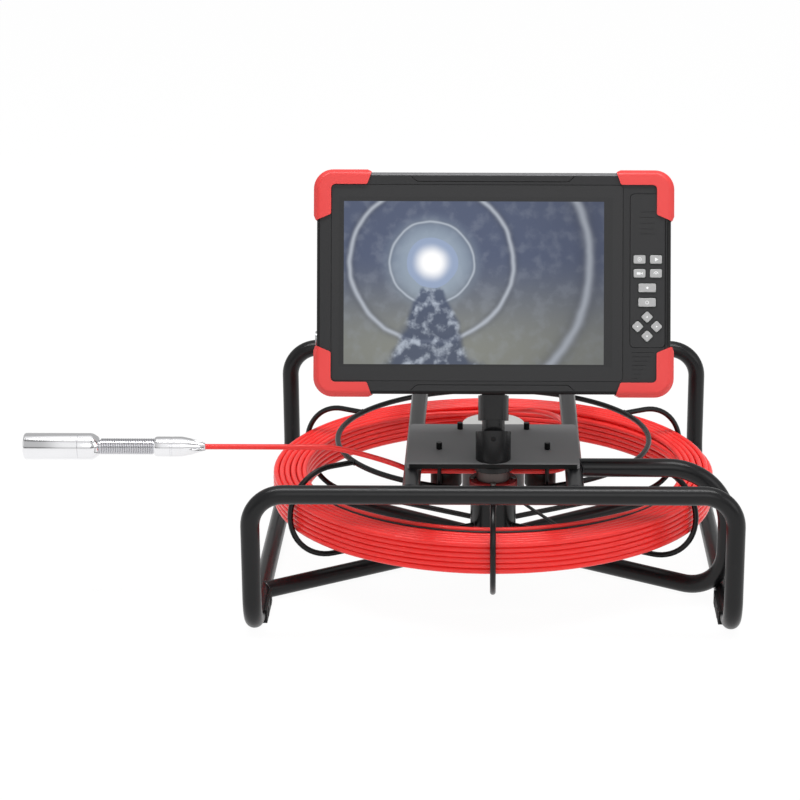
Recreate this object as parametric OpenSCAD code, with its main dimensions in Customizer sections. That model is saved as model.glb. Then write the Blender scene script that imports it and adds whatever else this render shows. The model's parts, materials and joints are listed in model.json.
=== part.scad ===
// Pipe inspection camera: a bent tube frame carries a flat cable reel on a vertical axle, a guide with two
// rollers, and a monitor that swivels and tilts on a post. Origin on the floor, on the reel's axis; the
// monitor faces -Y, the camera head lies towards -X, +Z is up. Millimetres.

/* [Frame] */
// Distance between the two floor rails, centre to centre
frame_w = 405; // [396:1:440]
// Distance between the front and rear bars, centre to centre
frame_d = 427; // [423:1:450]
// Height of the front and rear bars, at their centres
frame_h = 128.4; // [127:0.2:140]
// Outer diameter of the bent frame tube
tube_d = 16; // [15:0.5:18]
// Wall of the frame tubes
tube_wall = 1.5; // [1:0.1:2.5]
// Bend radius of the frame tube, at its centre line
bend_r = 28; // [24:1:40]
// Diameter of the side bars and base arms
bar_d = 15; // [14:0.2:16]
// Distance of the side bars from the middle, at their centres
bar_x = 68.7; // [66:0.1:72]
// Height of a rubber foot
foot_h = 12; // [8:0.5:15]
// How far a rubber foot stands out of the rail, towards the inside
foot_w = 3; // [2:0.5:5]

/* [Support loop] */
// Distance of the support loop's upright behind the front bar
loop_back = 70.4; // [60:0.1:80]
// Bend radius at the top of the support loop
loop_top_r = 54; // [40:1:60]
// Bend radius at the foot of the support loop
loop_foot_r = 43.5; // [43:0.5:50]

/* [Base and axle] */
// Diameter of the centre boss
base_d = 50; // [44:1:60]
// Height of the centre boss
base_h = 16; // [15.5:0.5:18]
// Diameter of the reel axle
axle_d = 17; // [15:0.5:18]
// Diameter of the axle's threaded foot
axle_foot_d = 12; // [10:0.5:13]
// Angle of the front base arm, from the X axis
arm_front_a = 32.5; // [29:0.5:36]
// Angle of the rear base arms, from the X axis
arm_rear_a = 34.5; // [29:0.5:37]

/* [Reel] */
// Diameter of the reel hub
hub_d = 42; // [40:0.5:46]
// Height of the reel hub
hub_h = 44; // [40:1:48]
// Wire diameter of the cage
wire_d = 5; // [4:0.25:5.5]
// Radius of the cage's top ring, at the wire's centre
ring_r = 141.9; // [140:0.1:145]
// Radius at which a rib starts to bend round the cable
rib_bend_x = 165; // [163:0.5:167]
// Distance of the cage's top ring below the front and rear bars, between centres
ring_drop = 20.9; // [19:0.1:24]
// Height of the cage's spokes over the centre boss, at the wire's centre
spoke_lift = 9.5; // [8:0.5:12]
// Number of cage ribs
rib_count = 6; // [4:1:8]
// Outer diameter of the slip ring housing
housing_d = 57; // [50:1:59]
// Height of the slip ring housing
housing_h = 59.2; // [50:0.2:64]
// Wall of the slip ring housing
housing_wall = 2.5; // [1.5:0.5:4]

/* [Cable] */
// Diameter of the push cable
cable_d = 4.8; // [4.6:0.1:5]
// Turns of cable side by side
turns_across = 6; // [4:1:6]
// Layers of cable on each other
turns_high = 6; // [4:1:6]
// Distance between neighbouring turns
turn_pitch = 5.2; // [5:0.05:5.2]
// Distance between layers
layer_pitch = 4.75; // [4.7:0.05:4.8]

/* [Plate and cable guide] */
// Width of the top plate
plate_w = 146.6; // [140:0.2:152]
// Length of the top plate, front to back
plate_l = 108.4; // [104:0.2:120]
// Thickness of the top plate
plate_t = 4; // [3:0.5:6]
// How far the plate's front edge stands out over the cage's top ring
plate_over = 27.1; // [26:0.1:30]
// Distance of the front guide bolts from the middle
bolt_front_x = 46.5; // [46:0.1:47]
// Distance of the rear guide bolts from the middle
bolt_rear_x = 29.3; // [26:0.1:32]
// Diameter of a guide bolt's stud end above the plate
stud_d = 5; // [4.5:0.1:6]
// Height of a stud end above the plate
stud_h = 6; // [4:0.5:8]
// Diameter of a guide bolt's shank below the plate
shank_d = 3.5; // [3:0.1:3.6]
// Diameter of a guide roller's rim
roller_d = 27.2; // [25:0.1:28]
// Diameter at the bottom of the roller's groove
groove_d = 19.8; // [16:0.1:20]

/* [Monitor post] */
// Diameter of the post socket
socket_d = 30; // [28:0.5:34]
// Height of the post socket above the plate
socket_h = 27.3; // [22:0.1:32]
// Diameter of the socket's threaded spigot
spigot_d = 24; // [22.5:0.5:26]
// Diameter of the swivel shaft
shaft_d = 19.2; // [17:0.1:20]
// Diameter of the upper collar
collar_d = 25.8; // [24:0.2:29]
// Free height between socket and upper collar
neck_h = 6.3; // [4:0.1:8]
// Width of the hinge tongue
tongue_w = 20; // [14:0.5:24]
// Diameter of the tilt pin
pin_d = 8; // [6:0.5:9]

/* [Monitor] */
// Width over the corner bumpers
bumper_w = 301.2; // [296:0.1:310]
// Height over the corner bumpers
bumper_h = 190; // [186:0.1:200]
// Depth over the corner bumpers
bumper_depth = 36; // [34:0.5:40]
// How far a bumper stands out over the case at the sides
bumper_side = 2.8; // [2:0.1:4]
// How far a bumper stands out over the case at the front and back
bumper_face = 1.5; // [1:0.1:3]
// Case wall
case_wall = 2.5; // [2:0.1:3.5]
// Backward lean of the screen at rest
lean = 17.8; // [15:0.1:21]
// Height of the monitor's lower edge above the top plate, measured along the screen
monitor_rise = 58.1; // [56:0.1:62]
// Button travel
travel = 0.8; // [0.5:0.1:1]

/* [Camera head] */
// Diameter of the camera head
head_d = 23; // [20:0.5:26]
// Length of the head body with its rear collar
head_l = 64.8; // [60:0.2:80]
// Length of the rear collar
head_collar_l = 18; // [12:0.5:22]
// Diameter of the head spring
spring_d = 14; // [12:0.5:16]
// Length of the head spring between collar and connector
spring_l = 47.3; // [40:0.1:55]
// Diameter of the cable connector
connector_d = 17.4; // [16:0.1:20]
// Length of the cable connector
connector_l = 23; // [20:0.5:26]
// Length of the collet nose
nose_l = 21; // [16:0.5:24]

/* [Hidden] */
$fn = 48;
fit = 0.05;            // radial clearance of a running fit
seat = 0.2;            // clearance of a seated or slipped-in piece
bar_y = frame_d / 2;
rail_x = frame_w / 2;
tube_r = tube_d / 2;
bar_r = bar_d / 2;
wire_r = wire_d / 2;

// support loop
loop_y = -bar_y + loop_back;
loop_angle = arm_front_a;
loop_run = rail_x / cos(loop_angle);
loop_foot_y = -rail_x * tan(loop_angle);
loop_lean = atan2(loop_foot_y - loop_y, frame_h - tube_r);
loop_turn = acos(sin(loop_angle) * sin(loop_lean));
loop_seam = 0.02;      // the upright and the foot bend are two tubes, welded here

// feet: they end just before the frame's bend
foot_end = bar_y - bend_r - 3;
foot_screw_d = 9;
foot_screw_h = 1.2;
foot_screw_at = 12;
foot_gap = 1;

// axle, hub and slip ring
shoulder_d = axle_d + 5;
shoulder_h = 4;
bearing_d = 35;
bearing_h = 10;
hub_z = base_h + 2;
bearing_low_z = base_h + shoulder_h + 0.1;
hub_flange_h = 4;
bearing_high_z = hub_z + hub_h - bearing_h - 2;
clip_z = bearing_high_z + bearing_h + 0.2;
clip_t = 1.5;
clip_groove = 1;
axle_top = clip_z + clip_t + 3;
housing_z = hub_z + hub_h;
core_d = 30;
core_h = 34;
brush_ring_t = 1.5;
brush_ring_step = 5;
axle_bore_d = 6;
nut_af = 19;
nut_h = 6;

// cage
ring_z = frame_h - ring_drop;
spoke_z = base_h + spoke_lift;
rib_mid_z = (ring_z + spoke_z) / 2;
rib_bend_r = (ring_z - spoke_z) / 2;
coil_gap = 2.2;
coil_rise = 0.35;

// cable coil
coil_or = rib_bend_x + rib_bend_r - wire_r - coil_gap;
coil_ir = coil_or - turns_across * turn_pitch;
coil_h = turns_high * layer_pitch;
coil_z = rib_mid_z - coil_h / 2 + coil_rise;
lead_d = 3;

// plate and guide
plate_z = frame_h + bar_r;
plate_top = plate_z + plate_t;
plate_y = -ring_r - plate_over;
plate_mid_y = plate_y + plate_l / 2;
plate_corner = 4;
bolt_front_in = 40.5;
bolt_rear_in = 94.9;
bolt_front_y = plate_y + bolt_front_in;
bolt_rear_y = plate_y + bolt_rear_in;
roller_in = 5.6;
roller_x = bolt_front_x - roller_in;
strap_slope = (bolt_rear_y - bolt_front_y) / (bolt_front_x - bolt_rear_x);
roller_y = bolt_front_y + (bolt_front_x - roller_x) * strap_slope;
feed_drop = 17.9;
feed_z = plate_z - feed_drop;
cable_play = 0.312;
feed_y = roller_y - groove_d / 2 - cable_d / 2 - cable_play;
guide_z = feed_z;
groove_h = cable_d + 0.6;
roller_low = 16;
roller_rim = 3;
roller_play = 0.2;
strap_t = 3;
strap_w = 10;
spacer_d = 8;
strap_z = plate_z - 8;
bolt_nut_h = 2.8;
bolt_nut_d = 7;
roller_axle_d = 5;
roller_head_d = 9;
roller_head_h = 2;

// post
post_in = 16.2;
post_y = plate_y + post_in;
socket_top = plate_top + socket_h;
collar_z = socket_top + neck_h;
lock_nut_d = socket_d + 4.8;
lock_nut_h = 6;
sleeve_d = socket_d - 1;
sleeve_h = 8;
flange_d = 41;
flange_h = 3;
cap_h = 4;
flange_z = plate_z - lock_nut_h - sleeve_h - flange_h;
flange_screw_r = 17.3;
flange_screw_d = 3;
set_screw_z = socket_top - 5;
set_screw_d = 4;
shaft_groove = 1;
shaft_in = 5;

// monitor, in its own axes: x right, y towards the back, z up, origin in the middle of the front
face_y = post_y + 3.7;
face_z = plate_top + monitor_rise + bumper_h / 2;
case_w = bumper_w - 2 * bumper_side;
case_h = bumper_h - 2 * bumper_side + 0.6;
case_r = 13.5;
case_front = bumper_face;
case_back = bumper_depth - bumper_face;
case_split = case_front + 11;
bumper_r = case_r + bumper_side;
bumper_arm_x = 48.3;
bumper_arm_z = 42.5;
bumper_face_x = 14.7;
bumper_face_z = 12.5;
arm_slant = 3.6;
front_wall = 3;
screen = [217, 136];
screen_x = -16.7;
glass = [243.4, 163.8];
glass_x = -14;
glass_z = 0.3;
glass_t = 1.6;
glass_in = 0.2;
lcd_t = 3.5;
lcd_rim = 12;
board = [226, 120];
board_t = 1.6;
board_gap = 0.5;
battery = [120, 74];
battery_t = 17.5;
jack_d = 9.2;
jack_rim = 2;
jack_bore_d = 3.6;
jack_gap = 6.5;
socket_at = [-case_w / 2 - jack_rim, case_split + 7, -bumper_h / 2 + bumper_arm_z + jack_gap];
keypad = [29, 127.9];
keypad_x = 128.3;
keypad_z = 10.9;
keypad_t = 1.6;
key_fit = 0.3;
key_proud = 1;
key_lip = 0.8;
key_lip_t = 1;
key_back = case_front + keypad_t + 0.3 + key_lip_t;
key_board_y = key_back + travel + 0.1;
key_board = [25, 88];
key_board_z = -12;
boss_d = 5;
boss_dx = 9.5;
small_key = [10, 7.1];
wide_key = [14.6, 7.25];
arrow_key = 6.8;
key_dx = 6.85;
rest_gap = 1;
pin_back = 15.8;
pin_up = 10.8;
knuckle_r = 8;
bracket = [56, 74];
bracket_t = 3;
ear_t = 6;
ear_gap = 0.3;
pin_head_h = 2;
pin_y = bumper_depth + pin_back;
pin_z = -bumper_h / 2 + pin_up;
pin_world_y = face_y + pin_y * cos(lean) + pin_z * sin(lean);
pin_world_z = face_z - pin_y * sin(lean) + pin_z * cos(lean);

// camera head: the free end of the cable lies along -X
head_y = feed_y;
head_z = 139.4;
nose_x = -248.1;
connector_x = nose_x - nose_l;
spring_x = connector_x - connector_l;
collar_x = spring_x - spring_l;
head_x = collar_x - head_l;
head_wall = 1.6;
window_t = 3;
bezel_t = 1.2;
light_t = 2;
sensor_d = 13;
sensor_l = 24;

// free run of the push cable, from the inner turn of the coil to the collet nose
cable_route = [
    [-28, 165, 76], [0, 162, 79], [26, 151, 84], [46, 130, 89], [59, 102, 94], [65, 70, 99],
    [66.5, 35, 103], [67, 0, 107], [67, -35, 110], [67, -65, 113], [67, -85, 115.4], [66.8, -98, 117],
    [65.2, -108, 117.8], [61, -115.3, feed_z], [55, -120.2, feed_z], [47.5, -123, feed_z],
    [40, feed_y, feed_z], [20, feed_y, feed_z], [0, feed_y, feed_z],
    [-20, feed_y, feed_z], [-40, feed_y, feed_z], [-56, feed_y, feed_z], [-66, feed_y, 118],
    [-74, feed_y, 118.9], [-84, feed_y, 122], [-96, feed_y, 126], [-108, feed_y, 130], [-120, feed_y, 134],
    [-130, feed_y, 136.9], [-140, feed_y, 138.8], [-152, feed_y, head_z], [-170, feed_y, head_z],
    [-190, feed_y, head_z], [-210, feed_y, head_z], [-230, feed_y, head_z], [nose_x, feed_y, head_z]
];

// thin lead from the hub to the inner end of the cable
lead_route = [
    [20, -7, 50], [26, -10, 48], [38, -20, 43], [54, -36, 38], [70, -56, 34], [88, -76, 33], [106, -94, 36],
    [122, -104, 42], [134, -102, 51], [140, -94, 58], [143.6, -85.4, 60]
];
lead_plug_d = 6;
lead_plug_l = 16;
lead_plug_a = 62;

// ---- helpers ----

module tube_section(d) {
    difference() {
        circle(d = d);
        circle(d = d - 2 * tube_wall);
    }
}

module tube_run(l, d = tube_d) {
    linear_extrude(l) tube_section(d);
}

// bend in the XY plane, from the +X side of its centre towards the +Y side
module tube_bend(r, turn = 90, d = tube_d) {
    rotate_extrude(angle = turn) translate([r, 0]) tube_section(d);
}

module ring(od, id, h) {
    difference() {
        cylinder(d = od, h = h);
        translate([0, 0, -1]) cylinder(d = id, h = h + 2);
    }
}

// plate standing in the XZ plane, between two depths
module slab(y0, y1) {
    translate([0, y1, 0]) rotate([90, 0, 0]) linear_extrude(y1 - y0) children();
}

module rounded(w, h, r) {
    square([w - 2 * r, h], center = true);
    square([w, h - 2 * r], center = true);
    for (sx = [-1, 1], sz = [-1, 1]) translate([sx * (w / 2 - r), sz * (h / 2 - r)]) circle(r);
}

module at_face(x = 0, z = 0) {
    translate([0, face_y, face_z]) rotate([-lean, 0, 0]) translate([x, 0, z]) children();
}

module on_post(z) {
    translate([0, post_y, z]) children();
}

// lays what stands along Z down along +X
module along_x() {
    rotate([0, 90, 0]) children();
}

// flat pieces in the monitor's axes, with round or square corners
module panel(y0, y1, at, size, r) {
    slab(y0, y1) translate(at) rounded(size[0], size[1], r);
}

module block(y0, y1, at, size) {
    slab(y0, y1) translate(at) square(size, center = true);
}

module mirror_x() {
    children();
    mirror([1, 0, 0]) children();
}

// unit vectors and rings for a cord swept along its points
function unit(v) = v / norm(v);
function tangent(p, i) = unit(p[min(i + 1, len(p) - 1)] - p[max(i - 1, 0)]);
function side(t) = unit(cross(t, abs(t[2]) > 0.9 ? [1, 0, 0] : [0, 0, 1]));
function ring_points(p, i, r, n) = let (t = tangent(p, i), u = side(t), v = cross(u, t))
    [for (k = [0:n - 1]) p[i] + r * (u * cos(360 * k / n) + v * sin(360 * k / n))];

module cord(p, d, n = 8) {
    last = len(p) - 1;
    points = [for (i = [0:last]) each ring_points(p, i, d / 2, n)];
    walls = [for (i = [0:last - 1], k = [0:n - 1])
        [i * n + k, i * n + (k + 1) % n, (i + 1) * n + (k + 1) % n, (i + 1) * n + k]];
    start_cap = [for (k = [0:n - 1]) n - 1 - k];
    end_cap = [for (k = [0:n - 1]) last * n + k];
    polyhedron(points, concat(walls, [start_cap, end_cap]));
}

// ---- frame ----

module half_frame() {
    corner_x = -rail_x + bend_r;
    bar_z = frame_h - tube_r;
    translate([0, 0, tube_r]) {
        mirror_x() {
            translate([-rail_x, 0, 0]) rotate([90, 0, 0]) tube_run(bar_y - bend_r);
            translate([-rail_x, -bar_y + bend_r, bend_r]) rotate([0, 90, 180]) tube_bend(bend_r);
            translate([-rail_x, -bar_y, bend_r]) tube_run(bar_z - 2 * bend_r);
            translate([corner_x, -bar_y, bar_z - bend_r]) rotate([90, 0, 180]) tube_bend(bend_r);
        }
        translate([corner_x, -bar_y, bar_z]) along_x() tube_run(frame_w - 2 * bend_r);
    }
}

module frame_front() {
    color("#1b1b1c") half_frame();
}

module frame_rear() {
    color("#1b1b1c") mirror([0, 1, 0]) half_frame();
}

module rail_sleeves() {
    sleeve_l = 40;
    color("silver") mirror_x() translate([rail_x, sleeve_l / 2, tube_r]) rotate([90, 0, 0])
        ring(tube_d - 2 * tube_wall - 2 * fit, tube_d - 4 * tube_wall - 2 * fit, sleeve_l);
}

module side_bars() {
    color("#1b1b1c") mirror_x() difference() {
        translate([bar_x, bar_y, frame_h]) rotate([90, 0, 0]) tube_run(2 * bar_y, bar_d);
        for (s = [-1, 1]) translate([0, s * bar_y, frame_h]) along_x() cylinder(d = tube_d, h = rail_x);
    }
}

// from the right side bar outwards, down beside the rail, and in along the floor to the centre boss
// its foot runs to the centre boss as the front arm does, so its upright leans back a little
module support_loop() {
    start_x = bar_x + 3;
    upright = (frame_h - tube_r) / cos(loop_lean);
    foot_tangent = loop_foot_r * tan(loop_turn / 2);
    out = [cos(loop_angle), -sin(loop_angle), 0];
    up = [0, -sin(loop_lean), cos(loop_lean)];
    away = (cos(loop_turn) * out - up) / sin(loop_turn);
    bend_at = [rail_x, loop_foot_y, tube_r] - foot_tangent * out - loop_foot_r * away;
    color("#1b1b1c") difference() {
        union() {
            translate([0, loop_y, frame_h]) rotate([loop_lean, 0, 0]) {
                translate([start_x, 0, 0]) along_x() tube_run(rail_x - loop_top_r - start_x);
                translate([rail_x - loop_top_r, 0, -loop_top_r]) rotate([90, 0, 0]) tube_bend(loop_top_r);
                translate([rail_x, 0, foot_tangent + loop_seam - upright])
                    tube_run(upright - foot_tangent - loop_seam - loop_top_r);
            }
            translate(bend_at) rotate([180, -asin(away[2]), atan2(away[1], away[0])]) {
                tube_bend(loop_foot_r, loop_turn);
                translate([loop_foot_r, 0, 0]) rotate([90, 0, 0]) tube_run(loop_run - foot_tangent);
            }
        }
        translate([bar_x, bar_y, frame_h]) rotate([90, 0, 0]) cylinder(d = bar_d, h = 2 * bar_y);
        translate([rail_x, 0, tube_r]) rotate([90, 0, 0]) cylinder(d = tube_d, h = bar_y - bend_r);
        translate([0, 0, -1]) cylinder(d = base_d, h = base_h + 2);
    }
}

// one base arm from the centre boss to the floor rail on its side
module base_arm(angle) {
    reach = rail_x / cos(angle);
    difference() {
        rotate([0, 90, angle]) translate([-tube_r, 0, 0]) tube_run(reach, bar_d);
        translate([rail_x, bar_y, tube_r]) rotate([90, 0, 0]) cylinder(d = tube_d, h = 2 * bar_y);
        translate([0, 0, -1]) cylinder(d = base_d, h = base_h + 2);
    }
}

module base_arms() {
    color("#1b1b1c") {
        mirror([1, 0, 0]) base_arm(-arm_front_a);
        mirror([1, 0, 0]) base_arm(arm_rear_a);
        base_arm(arm_rear_a);
    }
}

module axle_base() {
    color("#1b1b1c") difference() {
        cylinder(d = base_d, h = base_h);
        translate([0, 0, -1]) cylinder(d = axle_foot_d + 2 * fit, h = base_h + 2);
        translate([0, 0, -1]) cylinder(d = nut_af + 8, h = nut_h + 2);
    }
}

module reel_axle() {
    color("silver") difference() {
        union() {
            translate([0, 0, 1]) cylinder(d = axle_foot_d, h = base_h - 1);
            translate([0, 0, base_h]) cylinder(d = shoulder_d, h = shoulder_h);
            translate([0, 0, base_h]) cylinder(d = axle_d, h = axle_top - base_h);
        }
        translate([0, 0, clip_z]) ring(axle_d + 2, axle_d - 2 * clip_groove, clip_t);
        cylinder(d = axle_bore_d, h = axle_top + 1);
    }
}

module axle_nut() {
    color("silver") translate([0, 0, 1]) difference() {
        cylinder(d = nut_af / cos(30), h = nut_h, $fn = 6);
        translate([0, 0, -1]) cylinder(d = axle_foot_d + 2 * fit, h = nut_h + 2);
    }
}

module axle_clip() {
    color("dimgray") translate([0, 0, clip_z]) difference() {
        cylinder(d = axle_d + 4, h = clip_t - 0.1);
        translate([0, 0, -1]) cylinder(d = axle_d - 2 * clip_groove + 2 * fit, h = clip_t + 2);
        translate([-2, 0, -1]) cube([4, axle_d, clip_t + 2]);
    }
}

module slip_ring_core() {
    color("goldenrod") translate([0, 0, axle_top]) difference() {
        union() {
            cylinder(d = core_d - 8, h = core_h);
            for (i = [1:5]) translate([0, 0, i * brush_ring_step]) cylinder(d = core_d, h = brush_ring_t);
        }
        translate([0, 0, -1]) cylinder(d = axle_bore_d, h = core_h + 2);
    }
}

// strip along the inner side of the left rail's front end, moulded to the tube; it starts beside the
// arm or loop tube of radius r that comes in at this angle
module foot(angle, r) {
    under_tube = 4;
    l = foot_end - (rail_x - tube_r) * tan(angle) - r / cos(angle) - foot_gap;
    difference() {
        union() {
            translate([-rail_x + tube_r - under_tube, -foot_end, 0]) cube([foot_w + under_tube, l, foot_h]);
            for (y = [foot_screw_at, l - foot_screw_at])
                translate([-rail_x + tube_r + foot_w, y - foot_end, foot_h / 2]) along_x()
                    cylinder(d = foot_screw_d, h = foot_screw_h);
        }
        translate([-rail_x, 0, tube_r]) rotate([90, 0, 0]) cylinder(d = tube_d, h = bar_y - bend_r);
    }
}

module rubber_feet() {
    color("#101010") {
        foot(arm_front_a, bar_r);
        mirror([1, 0, 0]) foot(loop_angle, tube_r);
        mirror([0, 1, 0]) mirror_x() foot(arm_rear_a, bar_r);
    }
}

// ---- plate and cable guide ----

// what stands on the two front or the two rear bolts
module at_bolts() {
    translate([bolt_front_x, bolt_front_y, 0]) children();
    translate([bolt_rear_x, bolt_rear_y, 0]) children();
}

module top_plate() {
    color("#4a4a4b") difference() {
        translate([0, plate_mid_y, plate_z]) linear_extrude(plate_t) rounded(plate_w, plate_l, plate_corner);
        on_post(plate_z - 1) cylinder(d = spigot_d + 2 * fit, h = plate_t + 2);
        mirror_x() at_bolts() translate([0, 0, plate_z - 1])
            cylinder(d = shank_d + 2 * fit, h = plate_t + 2);
    }
}

// bolts through the plate: stud end on top, shank and nut below; the front ones reach down as guide pins
module guide_bolts() {
    nut_z = strap_z - bolt_nut_h;
    color("#161616") mirror_x() {
        at_bolts() {
            translate([0, 0, plate_top]) cylinder(d = stud_d, h = stud_h);
            translate([0, 0, nut_z - 2]) cylinder(d = shank_d, h = plate_top - nut_z + 2);
            translate([0, 0, nut_z]) cylinder(d = bolt_nut_d, h = bolt_nut_h, $fn = 6);
        }
        translate([bolt_front_x, bolt_front_y, guide_z - roller_low])
            cylinder(d = shank_d, h = nut_z - guide_z + roller_low);
    }
}

// strap from the front to the rear bolt, with spacers up to the plate and the roller's axle
module roller_bracket() {
    run = [bolt_rear_x - bolt_front_x, bolt_rear_y - bolt_front_y];
    axle_low = guide_z - roller_low - roller_play;
    difference() {
        union() {
            at_bolts() translate([0, 0, strap_z]) cylinder(d = spacer_d, h = plate_z - strap_z);
            translate([bolt_front_x, bolt_front_y, strap_z]) rotate([0, 0, atan2(run[1], run[0])])
                linear_extrude(strap_t) {
                    translate([0, -strap_w / 2]) square([norm(run), strap_w]);
                    for (x = [0, norm(run)]) translate([x, 0]) circle(d = strap_w);
                }
            translate([roller_x, roller_y, axle_low]) {
                cylinder(d = roller_axle_d, h = strap_z - axle_low);
                translate([0, 0, -roller_head_h]) cylinder(d = roller_head_d, h = roller_head_h);
            }
        }
        at_bolts() translate([0, 0, strap_z - 1]) cylinder(d = shank_d + 2 * fit, h = plate_z - strap_z + 2);
    }
}

module roller_brackets() {
    color("#262626") mirror_x() roller_bracket();
}

// grooved roller: thick lower rim, groove that the cable runs in, thin upper rim
module guide_roller() {
    low_h = roller_low - groove_h / 2;
    translate([roller_x, roller_y, guide_z - roller_low]) difference() {
        union() {
            cylinder(d = roller_d, h = low_h);
            translate([0, 0, low_h]) cylinder(d = groove_d, h = groove_h);
            translate([0, 0, low_h + groove_h]) cylinder(d = roller_d - 3, h = roller_rim);
        }
        translate([0, 0, -1]) cylinder(d = roller_axle_d + 2 * fit, h = low_h + groove_h + roller_rim + 2);
    }
}

module guide_roller_left() {
    color("#2c2a14") mirror([1, 0, 0]) guide_roller();
}

module guide_roller_right() {
    color("#2c2a14") guide_roller();
}

// ---- monitor post ----

module post_socket() {
    color("#161616") difference() {
        union() {
            on_post(plate_top) cylinder(d = socket_d, h = socket_h);
            on_post(flange_z + flange_h) cylinder(d = spigot_d, h = plate_top - flange_z - flange_h);
        }
        on_post(flange_z) cylinder(d = shaft_d + 2 * fit, h = socket_top - flange_z + 1);
        on_post(set_screw_z) rotate([90, 0, 0]) cylinder(d = set_screw_d + 2 * fit, h = socket_d);
    }
}

module lock_nut() {
    color("#101010") on_post(plate_z - lock_nut_h) ring(lock_nut_d, spigot_d + 2 * fit, lock_nut_h);
}

module swivel_sleeve() {
    color("#5b5553") on_post(plate_z - lock_nut_h - sleeve_h) ring(sleeve_d, spigot_d + 2 * fit, sleeve_h);
}

module swivel_flange() {
    color("#3a0d0d") difference() {
        on_post(flange_z - cap_h) cylinder(d = flange_d, h = flange_h + cap_h);
        for (a = [0:90:270]) on_post(flange_z) rotate([0, 0, a]) translate([flange_screw_r, 0, 0])
            cylinder(d = flange_screw_d + 2 * fit, h = flange_h + 1);
    }
}

module post_screws() {
    color("silver") {
        for (a = [0:90:270]) on_post(flange_z) rotate([0, 0, a]) translate([flange_screw_r, 0, 0])
            cylinder(d = flange_screw_d, h = flange_h);
        for (a = [0:90:270]) on_post(flange_z + flange_h) rotate([0, 0, a]) translate([flange_screw_r, 0, 0])
            cylinder(d = flange_screw_d + 2, h = 1.2);
        on_post(set_screw_z) rotate([90, 0, 0]) translate([0, 0, shaft_d / 2 - shaft_groove + seat])
            cylinder(d = set_screw_d, h = (socket_d - shaft_d) / 2 + shaft_groove - seat - 0.5);
    }
}

module swivel_shaft() {
    shaft_z = flange_z + flange_h + seat;
    color("#1c1c1c") difference() {
        on_post(shaft_z) cylinder(d = shaft_d, h = collar_z + shaft_in - shaft_z);
        on_post(set_screw_z - set_screw_d / 2 - seat)
            ring(shaft_d + 2, shaft_d - 2 * shaft_groove, set_screw_d + 2 * seat);
    }
}

// the collar's top is cut to the monitor's underside; a tongue at its back carries the tilt pin
module upper_collar() {
    color("#161616") difference() {
        union() {
            difference() {
                on_post(collar_z) cylinder(d = collar_d, h = face_z - bumper_h / 2 - collar_z);
                at_face() translate([-collar_d, -2 * collar_d, -case_h / 2 - rest_gap])
                    cube([2 * collar_d, 6 * collar_d, case_h]);
            }
            translate([-tongue_w / 2, pin_world_y, pin_world_z]) along_x()
                cylinder(r = knuckle_r, h = tongue_w);
            translate([-tongue_w / 2, 0, 0]) rotate([90, 0, 90]) linear_extrude(tongue_w) tongue_outline();
        }
        on_post(collar_z - 1) cylinder(d = shaft_d, h = shaft_in + 1);
        translate([-tongue_w, pin_world_y, pin_world_z]) along_x()
            cylinder(d = pin_d + 2 * fit, h = 2 * tongue_w);
    }
}

// side view of the tongue, from inside the collar to the tilt pin
module tongue_outline() {
    collar_back = post_y + collar_d / 2;
    tongue_z = pin_world_z - knuckle_r;
    polygon([[post_y, tongue_z], [post_y, collar_z + shaft_in], [collar_back, collar_z + 4],
        [pin_world_y, tongue_z], [pin_world_y + 6, pin_world_z - 5], [pin_world_y, pin_world_z],
        [pin_world_y - knuckle_r, pin_world_z], [collar_back, tongue_z]]);
}

// ---- monitor ----

module case_outline(inset = 0) {
    rounded(case_w - 2 * inset, case_h - 2 * inset, case_r - inset);
}

function key_places() = [
    [keypad_x - key_dx, 20.3], [keypad_x + key_dx, 20.3], [keypad_x - key_dx, 8.7], [keypad_x + key_dx, 8.7],
    [keypad_x - 0.3, -3.4], [keypad_x - 0.5, -15.5],
    [keypad_x - 0.4, -27.7], [keypad_x - 8.3, -35.7], [keypad_x + 7.5, -35.7], [keypad_x - 0.4, -43.7]];

// outline of key number i, grown by a clearance
module key_outline(i, grow = 0) {
    place = key_places()[i];
    translate(place) {
        if (i < 4) rounded(small_key[0] + 2 * grow, small_key[1] + 2 * grow, 1);
        else if (i < 6) rounded(wide_key[0] + 2 * grow, wide_key[1] + 2 * grow, 1);
        else rotate(45) rounded(arrow_key + 2 * grow, arrow_key + 2 * grow, 1);
    }
}

module monitor_front() {
    color("#3c3c3c") at_face() difference() {
        union() {
            difference() {
                slab(case_front, case_split) case_outline();
                slab(case_front + front_wall, case_split + 1) case_outline(case_wall);
            }
            slab(case_front + 2, key_board_y) for (sx = [-1, 1], sz = [-1, 1])
                translate([keypad_x + sx * boss_dx, key_board_z + sz * (key_board[1] - boss_d) / 2])
                    circle(d = boss_d);
        }
        panel(case_front - 1, case_front + glass_in + glass_t, [glass_x, glass_z],
            glass + [seat, seat], 3.2);
        block(case_front, case_front + front_wall + 1, [screen_x, glass_z], screen);
        panel(case_front - 1, case_front + keypad_t, [keypad_x, keypad_z], keypad + [seat, seat], 3.6);
        for (i = [0:9]) slab(case_front, case_front + front_wall + 1) key_outline(i, key_fit + key_lip);
    }
}

module monitor_back() {
    color("#3c3c3c") at_face() difference() {
        slab(case_split, case_back) case_outline();
        slab(case_split - 1, case_back - case_wall) case_outline(case_wall);
        translate(socket_at) along_x() cylinder(d = jack_d + seat, h = case_wall + 4);
    }
}

module screen_glass() {
    glass_y = case_front + glass_in;
    color("#20242c", 0.6) at_face() panel(glass_y, glass_y + glass_t, [glass_x, glass_z], glass, 3);
}

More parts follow.
